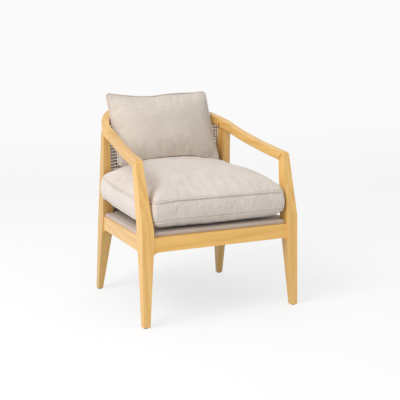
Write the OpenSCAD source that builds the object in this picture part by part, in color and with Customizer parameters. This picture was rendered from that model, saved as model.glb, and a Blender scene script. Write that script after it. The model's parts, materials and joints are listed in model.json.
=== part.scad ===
// Occasional chair with a bent oak frame, a cane barrel back and two loose cushions.
// Millimetres. X to the right, Y to the back, Z up; the origin is on the floor under the middle of the box.

/* [Overall] */
// Width over the front feet
overall_w = 624; // [600:2:660]
// Depth from the front legs to the back of the curved rail
overall_d = 704; // [690:2:740]
// Thickness of the glide under each foot
glide_t = 3; // [2:0.5:6]
// Radius of the glides
glide_r = 9; // [7:0.5:10]

/* [Front legs] */
// Width of the front foot, seen from the front
foot_w = 26; // [22:1:32]
// Depth of the front foot, seen from the side
foot_d = 22; // [20:1:32]
// Width of the front leg at the seat rail
leg_w = 44; // [38:1:50]
// Depth of the front leg at the seat rail
leg_d = 50; // [44:1:58]
// Height at which the front leg bends back into the arm post
bend_z = 343; // [325:1:380]
// Backward lean of the arm post, in degrees
post_lean = 14; // [8:0.5:18]
// Width of the arm post under the arm
post_top_w = 28; // [24:1:32]

/* [Rear legs] */
// Place of the rear foot's outer face from the middle of the chair
rear_foot_x = 287; // [278:1:296]
// Place of the rear leg's outer face at the arm
rear_top_x = 277; // [272:1:284]
// Width of the rear foot
rear_foot_w = 21; // [18:1:28]
// Depth of the rear foot
rear_foot_d = 21; // [18:1:28]
// How far the rear foot stands behind the leg's bend at the seat
rear_rake = 79; // [50:1:95]
// Width of the rear leg at the seat rail
rear_leg_w = 46; // [40:1:50]
// Depth of the rear leg at the seat rail
rear_leg_d = 59; // [50:1:64]
// Front face of the rear leg at the seat rail, behind the centre of the back's curve
rear_leg_set = 62; // [54:1:70]
// Width of the rear leg under the arm
rear_top_w = 24; // [20:1:28]
// Depth of the rear leg under the arm
rear_top_d = 29; // [24:1:34]
// How far the rear leg leans forward between the seat and the arm
rear_lean = 22; // [10:1:30]

/* [Arm and back rail] */
// Top of the arm at the front corner
arm_front_z = 573; // [560:1:600]
// Width of the arm and of the back rail, seen from above
arm_w = 30; // [26:1:36]
// Height of the arm and of the back rail, seen from the side
arm_h = 34; // [28:1:40]
// Slope of the arm at its front end, in degrees
arm_pitch = 9.3; // [6:0.1:12]
// Extra rise of the back rail above that slope
arm_sweep = 81; // [60:1:100]
// Outward splay of each arm, in degrees
arm_splay = 4; // [2:0.5:5]
// Outer radius of the curved back rail
back_r = 282; // [278:1:290]
// Rounding of the front corner where arm and post meet
corner_r = 18; // [6:1:24]
// Rounding of the inner corner under the arm
corner_in_r = 9; // [4:1:14]
// Diameter of the dowels in the arm joints
dowel_d = 8; // [6:1:10]
// Length of those dowels
dowel_len = 36; // [30:2:44]
// Distance between the two dowels of a joint
dowel_pitch = 14; // [12:1:16]

/* [Seat frame] */
// Top of the seat rails
rail_top = 312; // [305:1:320]
// Height of the seat rails
rail_h = 51; // [44:1:58]
// Thickness of the seat rails
rail_t = 24; // [20:1:26]
// How far the rails lie behind the faces of the legs
rail_setback = 3.5; // [2:0.5:6]
// Length of the curved bracket at each end of a rail
bracket_len = 24; // [14:1:30]
// Drop of that bracket below the rail
bracket_drop = 10; // [6:1:14]
// Thickness of the rail tenons
tenon_t = 9; // [7:1:11]
// Length of the rail tenons
tenon_len = 17; // [12:1:19]
// Shoulder above and below the rail tenons
tenon_shoulder = 9; // [6:1:12]
// Thickness of the tenon on top of the rear leg
top_tenon = 12; // [9:1:14]
// Height of that tenon
top_tenon_h = 20; // [14:1:24]
// Glue room around tenons and dowels
glue_gap = 0.15; // [0.1:0.05:0.3]
// Leg length of the triangular corner blocks
block_leg = 62; // [50:2:72]
// Height of the corner blocks
block_h = 32; // [24:1:38]
// Diameter of the bolt in each corner block
bolt_d = 6; // [5:0.5:8]

/* [Cane back] */
// Thickness of the cane webbing
cane_t = 1.6; // [1:0.1:2.4]
// Openings across the webbing, in place of its fine mesh
open_columns = 12; // [6:2:12]
// Openings from the seat rail up to the back rail
open_rows = 7; // [4:1:8]
// Width of the bands between those openings
open_band = 10; // [6:1:16]
// Width of the groove that holds the webbing
groove_w = 5; // [4:0.5:6]
// Depth of that groove
groove_d = 8; // [6:0.5:10]
// Width of the stile behind each rear leg
stile_w = 15; // [12:1:20]
// Depth of that stile from the inside to the outside of the barrel
stile_t = 15; // [12:1:20]

/* [Seat deck] */
// Height of the upholstered deck above the rails
deck_h = 18; // [14:1:24]
// Thickness of the deck board
board_t = 9; // [6:1:12]
// Thickness of the deck fabric
deck_fabric_t = 1.2; // [0.8:0.2:2]
// How far the deck lies behind the front rail's face
deck_front_inset = 8; // [5:1:12]
// How far the deck lies inside the side rails' faces
deck_side_inset = 3; // [2:1:8]
// Rounding of the deck's upper edge
deck_round = 7; // [4:1:9]
// Room between the deck and the posts or the cane
deck_gap = 1.5; // [1:0.5:3]
// Thickness of the black cloth under the seat
dust_t = 0.8; // [0.6:0.2:1.4]
// Inset of that cloth from the rails' faces
dust_inset = 6; // [4:1:10]

/* [Seat cushion] */
// Height of the bottom piping at the front edge
seat_pipe_z = 364; // [354:1:374]
// Height of the boxing between the two pipings
boxing_h = 70; // [60:1:80]
// Rise of the top panel's crown above the piping
seat_crown = 80; // [50:1:90]
// Backward rise of the loose cushion, in degrees
seat_tilt = 4; // [0:0.5:5]
// How far the boxing swells between the pipings
boxing_swell = 7; // [2:1:9]
// How far the front edge lies behind the faces of the front legs
seat_front_inset = 10; // [8:1:20]
// Room between the cushion and the posts
seat_gap = 5; // [2:0.5:8]
// How far the cushion's seams lie inside the side rails' faces, or outside if negative
seat_side_inset = -2; // [-6:1:12]
// How far the cushion may be lifted before its sides meet the arms
seat_lift = 66; // [40:1:68]
// Diameter of the piping
pipe_d = 6; // [4:0.5:8]
// Thickness of the cushion covers
cover_t = 2; // [1:0.5:3]

/* [Back cushion] */
// Room between the piping of the back cushion and the back rail, at each side
back_room = 9; // [4:1:30]
// Height of the back cushion along its lean
back_h = 290; // [270:2:300]
// Thickness of the back cushion
back_t = 128; // [100:2:140]
// How far the middle of each side is drawn in between the corners
back_draw = 7; // [0:1:12]
// Backward lean of the back cushion, in degrees
back_lean = 19.5; // [14:0.5:22]
// Middle of the back cushion, in front of the outside of the back rail
back_set = 202; // [196:1:210]
// How far the seat's crown presses up the lower edge of the back cushion
back_sink = 30; // [22:1:34]

/* [Hidden] */
$fn = 48;
eps = 0.01;
big = 1000;

front_y = -overall_d / 2;
rear_y = overall_d / 2;
arc_y = rear_y - back_r;
rear_leg_y = arc_y + rear_leg_set;
foot_x = overall_w / 2;

// Arm corner: the post's front line and the arm's top line meet here
corner_y = front_y + (arm_front_z - bend_z) * tan(post_lean);
arm_run = rear_y - corner_y;
function arm_top(y) = arm_front_z + (y - corner_y) * tan(arm_pitch)
  + arm_sweep * pow((y - corner_y) / arm_run, 2);
function arm_slope(y) = atan(tan(arm_pitch) + 2 * arm_sweep * (y - corner_y) / pow(arm_run, 2));
function arm_x(y) = back_r * cos(arm_splay) + (arc_y - back_r * sin(arm_splay) - y) * tan(arm_splay);
corner_x = arm_x(corner_y);

// Mitre between post and arm
mitre_half = (90 + post_lean + arm_pitch) / 2;
mitre_turn = 45 + post_lean / 2 - arm_pitch / 2;
mitre_dir = [cos(mitre_turn), -sin(mitre_turn)];
corner = [corner_y, arm_front_z];
mitre_in = corner + mitre_dir * arm_h * cos(arm_pitch) / sin(mitre_half);
corner_c = corner + mitre_dir * corner_r / sin(mitre_half);
post_dir = 180 - post_lean;
arm_dir = 90 + arm_pitch;
corner_steps = 5;
function corner_arc(from, to) = [for (i = [0:corner_steps]) let(t = from + (to - from) * i / corner_steps)
  corner_c + corner_r * [cos(t), sin(t)]];
corner_mid = (post_dir + arm_dir) / 2;

// Outlines of the front leg
function leg_out(z) = foot_x + (corner_x - foot_x) * z / arm_front_z;
function leg_in(z) = z < rail_top
  ? leg_out(z) - foot_w - (leg_w - foot_w) * z / rail_top
  : leg_out(z) - leg_w - (post_top_w - leg_w) * (z - rail_top) / (mitre_in[1] - rail_top);
function leg_back(z) = z < rail_top
  ? front_y + foot_d + (leg_d - foot_d) * z / rail_top
  : front_y + leg_d + (mitre_in[0] - front_y - leg_d) * (z - rail_top) / (mitre_in[1] - rail_top);

// Outlines of the rear leg
arm_under_z = arm_top(rear_leg_y) - arm_h;
rail_bottom = rail_top - rail_h;
function rear_out(z) = rear_foot_x + (rear_top_x - rear_foot_x) * z / arm_under_z;
function rear_in(z) = z < rail_bottom
  ? rear_out(z) - rear_foot_w - (rear_leg_w - rear_foot_w) * z / rail_bottom
  : rear_out(z) - rear_leg_w - (rear_top_w - rear_leg_w) * (z - rail_bottom) / (arm_under_z - rail_bottom);
function rear_front(z) = z < rail_top
  ? rear_leg_y + rear_rake * (1 - z / rail_top)
  : rear_leg_y - rear_lean * (z - rail_top) / (arm_under_z - rail_top);
function rear_depth(z) = z < rail_top
  ? rear_foot_d + (rear_leg_d - rear_foot_d) * z / rail_top
  : rear_leg_d + (rear_top_d - rear_leg_d) * (z - rail_top) / (arm_under_z - rail_top);
function rear_back(z) = rear_front(z) + rear_depth(z);

// The curved line of the arm and back rail, sampled once for every piece that follows it
sweep_steps = 16;
sweep_y = [for (i = [1:sweep_steps]) corner_y + (arm_run + 1) * i / sweep_steps];

// Inner corner, from the post's back face to its middle on the mitre and on to the arm's underside
corner_in = fillet([leg_back(rail_top), rail_top], mitre_in,
  [sweep_y[0], arm_top(sweep_y[0]) - arm_h], corner_in_r, 4);

// Solids cut from a side view (points are [y, z]) or from a front view (points are [x, z])
module side_cut(points, x0, x1) {
  translate([x0, 0, 0]) rotate([90, 0, 90]) linear_extrude(height = x1 - x0) polygon(points);
}
module front_cut(points, y0, y1) {
  translate([0, y1, 0]) rotate([90, 0, 0]) linear_extrude(height = y1 - y0) polygon(points);
}
module ring(r0, r1, z0, z1, from = 0, to = 180) {
  translate([0, arc_y, z0]) rotate([0, 0, from]) rotate_extrude(angle = to - from, $fn = 96)
    translate([r0, 0]) square([r1 - r0, z1 - z0]);
}
// Everything between two offsets from the arm's underside, as one slab across the chair
module sweep_slab(low, high) {
  top = [for (y = sweep_y) [y, arm_top(y) - arm_h + high]];
  bottom = [for (i = [len(sweep_y) - 1:-1:0]) [sweep_y[i], arm_top(sweep_y[i]) - arm_h + low]];
  side_cut(concat(top, bottom), -big, big);
}
module below_arm() {
  top = [for (y = sweep_y) [y, arm_top(y) - arm_h]];
  side_cut(concat(top, [[rear_y + 1, 0], [sweep_y[0], 0]]), -big, big);
}

// Front leg and arm post in one bent piece
module front_leg_blank() {
  side = concat(
    [[front_y, glide_t], [front_y, bend_z]],
    corner_arc(post_dir, corner_mid),
    [corner_in[2], corner_in[1], corner_in[0]],
    [[leg_back(rail_top), rail_top], [leg_back(glide_t), glide_t]]
  );
  front = [
    [leg_out(glide_t), glide_t], [leg_out(arm_front_z), arm_front_z + 1],
    [leg_in(mitre_in[1]), arm_front_z + 1], [leg_in(mitre_in[1]), mitre_in[1]],
    [leg_in(rail_top), rail_top], [leg_in(glide_t), glide_t]
  ];
  intersection() {
    side_cut(side, 0, foot_x + 1);
    front_cut(front, front_y - 1, front_y + big / 2);
  }
}

module front_leg() {
  difference() {
    front_leg_blank();
    front_tenon(glue_gap);
    side_tenon_front(glue_gap);
    mitre_dowels(glue_gap);
    corner_bolt_front(glue_gap);
    foot_nail([leg_mid_x, leg_mid_y], glue_gap);
  }
}
leg_mid_x = foot_x - foot_w / 2;
leg_mid_y = front_y + foot_d / 2;
rear_mid_x = rear_foot_x - rear_foot_w / 2;
rear_mid_y = rear_leg_y + rear_rake + rear_foot_d / 2;

// Rear leg, raked below the seat and leaning forward above it
module rear_leg_blank() {
  top = arm_top(rear_y);
  side = [
    [rear_front(glide_t), glide_t], [rear_front(rail_top), rail_top],
    [rear_front(top), top], [rear_back(top), top],
    [rear_back(rail_top), rail_top], [rear_back(glide_t), glide_t]
  ];
  front = [
    [rear_out(glide_t), glide_t], [rear_out(top), top], [rear_in(top), top],
    [rear_in(rail_bottom), rail_bottom], [rear_in(glide_t), glide_t]
  ];
  intersection() {
    side_cut(side, 0, foot_x + 1);
    front_cut(front, 0, rear_y);
    below_arm();
  }
}

module rear_leg() {
  difference() {
    union() {
      rear_leg_blank();
      rear_top_tenon(0);
    }
    side_tenon_rear(glue_gap);
    back_tenon(glue_gap);
    corner_bolt_rear(glue_gap);
    foot_nail([rear_mid_x, rear_mid_y], glue_gap);
  }
}

rear_tenon_y = rear_front(arm_under_z) + rear_top_d / 2;
rear_tenon_x = rear_out(arm_under_z) - rear_top_w / 2 - 3;
module rear_top_tenon(gap) {
  z0 = arm_top(rear_tenon_y) - arm_h - top_tenon;
  translate([rear_tenon_x - top_tenon / 2 - gap, rear_tenon_y - top_tenon / 2 - gap, z0])
    cube([top_tenon + 2 * gap, top_tenon + 2 * gap, top_tenon + top_tenon_h + gap]);
}

// Arm from the mitre to the start of the curved rail
module arm_blank() {
  side = concat(
    corner_arc(corner_mid, arm_dir),
    [for (y = sweep_y) [y, arm_top(y)]],
    [for (i = [len(sweep_y) - 1:-1:0]) [sweep_y[i], arm_top(sweep_y[i]) - arm_h]],
    [corner_in[4], corner_in[3], corner_in[2]]
  );
  dir = [sin(arm_splay), -cos(arm_splay)];
  end_out = [back_r * cos(arm_splay), arc_y - back_r * sin(arm_splay)];
  end_in = [(back_r - arm_w) * cos(arm_splay), arc_y - (back_r - arm_w) * sin(arm_splay)];
  reach = overall_d;
  intersection() {
    side_cut(side, 0, big / 2);
    linear_extrude(height = big)
      polygon([end_out, end_out + dir * reach, end_in + dir * reach, end_in]);
  }
}

module arm() {
  difference() {
    arm_blank();
    mitre_dowels(glue_gap);
    end_dowels(glue_gap);
  }
}

// Curved rail, cut from a ring by the same sweep as the arms
module back_rail() {
  color("burlywood") difference() {
    intersection() {
      ring(back_r - arm_w, back_r, arm_front_z - arm_h, big, -arm_splay, 180 + arm_splay);
      sweep_slab(0, arm_h);
    }
    both() end_dowels(glue_gap);
    both() rear_top_tenon(glue_gap);
    cane_groove_top();
  }
}

module both() {
  children();
  mirror([1, 0, 0]) children();
}

// Dowels across the mitre, square to it
module mitre_dowels(gap) {
  mid = (corner_c + mitre_in) / 2;
  x = (leg_out(mid[1]) + leg_in(mitre_in[1])) / 2;
  for (side = [-1, 1])
    translate([x, mid[0], mid[1]])
      rotate([-mitre_turn, 0, 0])
        translate([0, side * dowel_pitch / 2, -dowel_len / 2 - gap])
          cylinder(d = dowel_d + 2 * gap, h = dowel_len + 2 * gap);
}

// Dowels from the arm into the end of the curved rail
module end_dowels(gap) {
  r = back_r - arm_w / 2;
  x = r * cos(arm_splay);
  y = arc_y - r * sin(arm_splay);
  z = arm_top(y) - arm_h / 2;
  for (side = [-1, 1])
    translate([x, y, z]) rotate([0, 0, arm_splay]) rotate([arm_slope(y) - 90, 0, 0])
      translate([0, side * dowel_pitch / 2, -dowel_len / 2 - gap])
        cylinder(d = dowel_d + 2 * gap, h = dowel_len + 2 * gap);
}

module arm_dowels() {
  color("peru") both() {
    mitre_dowels(0);
    end_dowels(0);
  }
}

// Lower edge of a rail with a curved bracket at each end, as [along, z] points
bracket_r = (pow(bracket_len, 2) + pow(bracket_drop, 2)) / (2 * bracket_drop);
bracket_a = asin(bracket_len / bracket_r);
bracket_steps = 6;
function bracket_end(at) = [for (i = [0:bracket_steps])
  [at - bracket_len + bracket_r * sin(bracket_a * i / bracket_steps),
   rail_bottom - bracket_r * (1 - cos(bracket_a * i / bracket_steps))]];
function rail_outline(from, to) = concat(
  bracket_end(to), [[to + leg_w / 2, rail_bottom - bracket_drop], [to + leg_w / 2, rail_top],
  [from - leg_w / 2, rail_top], [from - leg_w / 2, rail_bottom - bracket_drop]],
  [for (i = [bracket_steps:-1:0]) [from + to - bracket_end(to)[i][0], bracket_end(to)[i][1]]]
);

rail_front_y = front_y + rail_setback;
front_end_x = leg_in(rail_bottom);
tenon_low = rail_bottom + tenon_shoulder;
tenon_h = rail_h - 2 * tenon_shoulder;
module front_tenon(gap) {
  y = rail_front_y + (rail_t - tenon_t) / 2;
  translate([front_end_x - 2, y - gap, tenon_low - gap])
    cube([tenon_len + 2 + gap, tenon_t + 2 * gap, tenon_h + 2 * gap]);
}

module seat_rail_front() {
  color("burlywood") union() {
    difference() {
      front_cut(rail_outline(-front_end_x, front_end_x), rail_front_y, rail_front_y + rail_t);
      both() front_leg_blank();
    }
    both() front_tenon(0);
  }
}

// Side rails run from the front leg's back face to the rear leg's front face
side_front = [leg_out(rail_top) - rail_setback, leg_back(rail_top)];
side_rear = [rear_out(rail_top) - rail_setback, rear_front(rail_top)];
side_turn = atan((side_front[0] - side_rear[0]) / (side_rear[1] - side_front[1]));
side_len = norm(side_rear - side_front);
module along_side() {
  translate([side_front[0], side_front[1], 0]) rotate([0, 0, side_turn]) children();
}
module side_tenon_front(gap) {
  along_side() translate([-(rail_t + tenon_t) / 2 - gap, -tenon_len - gap, tenon_low - gap])
    cube([tenon_t + 2 * gap, tenon_len + 10, tenon_h + 2 * gap]);
}
module side_tenon_rear(gap) {
  along_side() translate([-(rail_t + tenon_t) / 2 - gap, side_len - 10, tenon_low - gap])
    cube([tenon_t + 2 * gap, tenon_len + 10 + rear_shift + gap, tenon_h + 2 * gap]);
}
// The rear leg's front face lies further back at the bottom of the rail
rear_shift = rear_front(rail_bottom) - rear_front(rail_top);

module seat_rail_side() {
  color("burlywood") union() {
    difference() {
      along_side() side_cut(rail_outline(-3, side_len + rear_shift / 2), -rail_t, 0);
      front_leg_blank();
      rear_leg_blank();
    }
    side_tenon_front(0);
    side_tenon_rear(0);
  }
}

// Curved rail at the back of the seat, tenoned into the backs of the rear legs
seat_back_r = back_r - 2;
back_tenon_y = rear_back(rail_top - rail_h / 2);
back_tenon_x = sqrt(pow(seat_back_r - rail_t / 2, 2) - pow(back_tenon_y - arc_y, 2));
back_angle = asin((back_tenon_y - arc_y) / (seat_back_r - rail_t / 2));
module back_tenon(gap) {
  translate([back_tenon_x, back_tenon_y, tenon_low - gap]) rotate([0, 0, back_angle])
    translate([-tenon_t / 2 - gap, -tenon_len - gap, 0])
      cube([tenon_t + 2 * gap, tenon_len + 10, tenon_h + 2 * gap]);
}

module seat_rail_back() {
  color("burlywood") difference() {
    union() {
      difference() {
        ring(seat_back_r - rail_t, seat_back_r, rail_bottom, rail_top, back_angle - 4, 184 - back_angle);
        both() rear_leg_blank();
      }
      both() back_tenon(0);
    }
    cane_groove_bottom();
  }
}

// Corner blocks, screwed from the inside against rail and leg
block_z = rail_top - block_h;
block_front_x = leg_out(rail_top) - rail_setback - rail_t;
block_front_y = rail_front_y + rail_t;
module corner_block_front() {
  difference() {
    translate([0, 0, block_z]) linear_extrude(height = block_h) polygon([
      [block_front_x, block_front_y], [block_front_x - block_leg, block_front_y],
      [block_front_x - block_leg, block_front_y + 14],
      [block_front_x - 14 - side_step, block_front_y + block_leg],
      [block_front_x - side_step, block_front_y + block_leg]
    ]);
    front_leg_blank();
    along_side() translate([-rail_t, -block_leg, 0]) cube([rail_t + block_leg, 3 * block_leg, big]);
    corner_bolt_front(glue_gap);
    deck_screw_pair(glue_gap);
  }
}
side_step = 4;

block_rear_y = rear_front(rail_bottom);
module corner_block_rear() {
  difference() {
    translate([0, 0, block_z]) linear_extrude(height = block_h) polygon([
      [side_rear[0] - rail_t, block_rear_y - block_leg],
      [side_rear[0] - rail_t - 14, block_rear_y - block_leg],
      [rear_in(rail_bottom) - 14, block_rear_y], [rear_in(rail_bottom) - 14, block_rear_y + 40],
      [side_rear[0], block_rear_y + 40], [side_rear[0], block_rear_y - block_leg]
    ]);
    rear_leg_blank();
    along_side() translate([-rail_t, -block_leg, 0]) cube([rail_t + block_leg, 2 * side_len, big]);
    ring(seat_back_r - rail_t, seat_back_r + block_leg, 0, big, 0, 90);
    corner_bolt_rear(glue_gap);
  }
}

module corner_blocks() {
  color("tan") both() {
    corner_block_front();
    corner_block_rear();
  }
}

// Bolts with a washer head, from the block into the leg
bolt_z = block_z + block_h / 2;
bolt_len = 46;
module corner_bolt(gap) {
  rotate([0, 90, 0]) {
    translate([0, 0, -bolt_len]) cylinder(d = bolt_d + 2 * gap, h = bolt_len + gap);
    translate([0, 0, -bolt_len - 4]) cylinder(d = 2.4 * bolt_d + 2 * gap, h = 4 + eps);
  }
}
module corner_bolt_front(gap) {
  translate([leg_in(bolt_z) + 12, leg_back(bolt_z) - 12, bolt_z]) rotate([0, 0, -45]) corner_bolt(gap);
}
module corner_bolt_rear(gap) {
  translate([rear_in(bolt_z) + 14, rear_front(bolt_z) + 12, bolt_z]) rotate([0, 0, 30]) corner_bolt(gap);
}
module corner_bolts() {
  color("silver") both() {
    corner_bolt_front(0);
    corner_bolt_rear(0);
  }
}

// Cane webbing in its grooves
cane_r = back_r - arm_w / 2;
module behind_rear_leg(offset) {
  top = arm_top(rear_y);
  side_cut([
    [rear_back(0) + offset, 0], [rear_back(rail_top) + offset, rail_top], [rear_back(top) + offset, top],
    [rear_y + 1, top], [rear_y + 1, 0]
  ], -big, big);
}
stile_lip = 4;
module cane_groove_top() {
  intersection() {
    ring(cane_r - groove_w / 2, cane_r + groove_w / 2, 0, big);
    sweep_slab(-1, groove_d);
    behind_rear_leg(stile_lip);
  }
}
module cane_groove_bottom() {
  intersection() {
    ring(cane_r - groove_w / 2, cane_r + groove_w / 2, rail_top - groove_d, rail_top + 1);
    behind_rear_leg(stile_lip);
  }
}
module cane_webbing() {
  color("wheat") difference() {
    intersection() {
      ring(web_r, web_r + cane_t, rail_top - groove_d + 1, big);
      union() {
        below_arm();
        sweep_slab(-1, groove_d - 1);
      }
      behind_rear_leg(stile_lip + 1);
    }
    both() for (i = [0:open_columns / 2 - 1]) for (j = [0:open_rows - 1]) cane_opening(i, j);
  }
}
cane_gap = 0.2;
web_r = cane_r - groove_w / 2 + cane_gap;

// One opening of the webbing, between the stile and the middle of the back
open_from = 20;
open_turn = (90 - open_from) / (open_columns / 2);
band_turn = open_band / cane_r * 180 / PI;
open_low = rail_top + open_band;
function stile_turn(z) = asin((rear_back(z) + stile_w + open_band / 2 - arc_y) / cane_r);
module cane_opening(i, j) {
  side = open_from + i * open_turn;
  rise = (arm_top(arc_y + cane_r * sin(side)) - arm_h - open_low) / open_rows;
  z = open_low + j * rise;
  from = max(side + band_turn / 2, stile_turn(z));
  to = side + open_turn - band_turn / 2;
  if (to - from > band_turn) ring(cane_r - groove_w, cane_r + groove_w, z, z + rise - open_band, from, to);
}

// Splines that wedge the webbing, over and under it and in the stiles
module cane_splines() {
  r0 = cane_r - groove_w / 2 + cane_t + 2 * cane_gap;
  r1 = cane_r + groove_w / 2 - cane_gap;
  color("tan") {
    intersection() {
      ring(r0, r1, 0, big);
      sweep_slab(0.5, groove_d - 0.5);
      behind_rear_leg(stile_w + 0.5);
    }
    intersection() {
      ring(r0, r1, rail_top - groove_d + 0.5, rail_top - 0.5);
      behind_rear_leg(stile_w + 0.5);
    }
  }
}

// Stile that carries the side edge of the webbing, on the back of the rear leg
module cane_stile() {
  difference() {
    intersection() {
      ring(cane_r - stile_t / 2, cane_r + stile_t / 2, rail_top, big, 0, 90);
      below_arm();
      behind_rear_leg(0);
    }
    behind_rear_leg(stile_w);
    intersection() {
      ring(cane_r - groove_w / 2, cane_r + groove_w / 2, 0, big, 0, 90);
      behind_rear_leg(stile_lip);
    }
  }
}

// Plan of the deck: straight to the rear legs, then round inside the cane
deck_y = rail_front_y + deck_front_inset;
deck_back_r = cane_r - groove_w / 2 - deck_gap;
side_drift = (side_rear[0] - side_front[0]) / (side_rear[1] - side_front[1]);
function side_x(y) = side_front[0] + side_drift * (y - side_front[1]);
module deck_front_plan(inset) {
  x0 = side_x(deck_y) - deck_side_inset - inset;
  x1 = side_x(rear_leg_y) - deck_side_inset - inset;
  y1 = rear_front(deck_top) - deck_gap - inset;
  polygon([[-x0, deck_y + inset], [x0, deck_y + inset], [x1, y1], [-x1, y1]]);
}
module deck_back_plan(inset) {
  translate([0, arc_y]) intersection() {
    circle(r = deck_back_r - inset, $fn = 64);
    translate([-big, 0]) square([2 * big, big]);
  }
}
module deck_form(inset, top) {
  round_in = max(0.2, deck_round - inset);
  difference() {
    union() {
      hull() {
        translate([0, 0, rail_top]) linear_extrude(height = top - rail_top - round_in) deck_front_plan(inset);
        translate([0, 0, rail_top]) linear_extrude(height = top - rail_top - round_in * 0.3)
          deck_front_plan(inset + round_in * 0.3);
        translate([0, 0, rail_top]) linear_extrude(height = top - rail_top) deck_front_plan(inset + round_in);
      }
      hull() {
        translate([0, 0, rail_top]) linear_extrude(height = top - rail_top - round_in) deck_back_plan(inset);
        translate([0, 0, rail_top]) linear_extrude(height = top - rail_top - round_in * 0.3)
          deck_back_plan(inset + round_in * 0.3);
        translate([0, 0, rail_top]) linear_extrude(height = top - rail_top) deck_back_plan(inset + round_in);
      }
    }
    deck_notches(inset);
  }
}
// Straight notches around the four posts
module deck_notches(inset) {
  clear = deck_gap + inset;
  both() {
    translate([leg_in(rail_top) - clear, front_y - 1, rail_top - 1])
      cube([leg_w + 2 * clear, leg_back(deck_top) - front_y + 1 + clear, deck_h + 2]);
    translate([rear_in(rail_top) - clear, rear_front(deck_top) - clear, rail_top - 1])
      cube([rear_leg_w + 2 * clear, rear_leg_d + 3 + 2 * clear, deck_h + 2]);
    intersection() {
      ring(cane_r - stile_t / 2 - clear, back_r, rail_top - 1, deck_top + 1, 0, 90);
      difference() {
        behind_rear_leg(-clear);
        behind_rear_leg(stile_w + clear);
      }
    }
  }
}
deck_top = rail_top + deck_h;
module deck_cover() {
  color("thistle") difference() {
    deck_form(0, deck_top);
    translate([0, 0, -eps]) deck_form(deck_fabric_t, deck_top - deck_fabric_t);
  }
}
module deck_board() {
  inset = deck_fabric_t + 0.3;
  color("tan") difference() {
    translate([0, 0, rail_top]) linear_extrude(height = board_t) {
      deck_front_plan(inset);
      deck_back_plan(inset);
    }
    deck_notches(inset);
    both() deck_screw_pair(glue_gap);
  }
}
module deck_pad() {
  inset = deck_fabric_t + 0.3;
  color("khaki") difference() {
    deck_form(inset, deck_top - inset);
    translate([-big, -big, rail_top - 1]) cube([2 * big, 2 * big, board_t + 1.2]);
  }
}

// Screws up through the corner blocks into the board
screw_d = 4;
screw_bite = 6;
screw_len = block_h + screw_bite;
module deck_screw(gap) {
  cylinder(d = screw_d + 2 * gap, h = screw_len + gap);
  translate([0, 0, -2.5]) cylinder(d = 2 * screw_d + 2 * gap, h = 2.5 + eps);
}
module deck_screw_pair(gap) {
  translate([block_front_x - block_leg + 10, block_front_y + 9, block_z]) deck_screw(gap);
  translate([block_front_x - side_step - 9, block_front_y + block_leg - 10, block_z]) deck_screw(gap);
}
module deck_screws() {
  color("silver") both() deck_screw_pair(0);
}

// Black cloth under the seat frame
module dust_cover() {
  y0 = rail_front_y + dust_inset;
  x0 = side_x(y0) - dust_inset;
  x1 = side_x(rear_leg_y) - dust_inset;
  y1 = rear_front(rail_bottom) + 4;
  color("dimgray") difference() {
    translate([0, 0, rail_bottom - dust_t]) linear_extrude(height = dust_t) {
      polygon([[-x0, y0], [x0, y0], [x1, y1], [-x1, y1]]);
      translate([0, arc_y]) intersection() {
        circle(r = seat_back_r - dust_inset, $fn = 96);
        translate([-big, 0]) square([2 * big, big]);
      }
    }
    both() {
      translate([leg_in(rail_bottom) - bracket_len - 6, front_y - 1, 0])
        cube([big, leg_d + bracket_len + 10, big]);
      translate([rear_in(rail_bottom) - 6, rear_front(rail_bottom) - bracket_len - 10, 0])
        cube([big, rear_leg_d + bracket_len + 16, big]);
    }
  }
}

// Glides nailed under the feet
module foot_nail(at, gap) {
  translate([at[0], at[1], glide_t - eps]) cylinder(d = 2.4 + 2 * gap, h = 14 + gap);
}
module foot_glides() {
  color("gray") both() for (at = [[leg_mid_x, leg_mid_y], [rear_mid_x, rear_mid_y]]) {
    translate([at[0], at[1], 0]) cylinder(r = glide_r, h = glide_t);
    foot_nail(at, 0);
  }
}

// Rounded corner between two straight edges of an outline
function fillet(a, b, c, r, n) = let(
    u = (a - b) / norm(a - b), v = (c - b) / norm(c - b),
    half = acos(u * v) / 2, d = r / tan(half),
    p = b + u * d, q = b + v * d, m = b + (u + v) / norm(u + v) * r / sin(half)
  ) [for (i = [0:n]) let(
    t = i / n, w = (1 - t) * (p - m) + t * (q - m)
  ) m + w / norm(w) * r];

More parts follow.
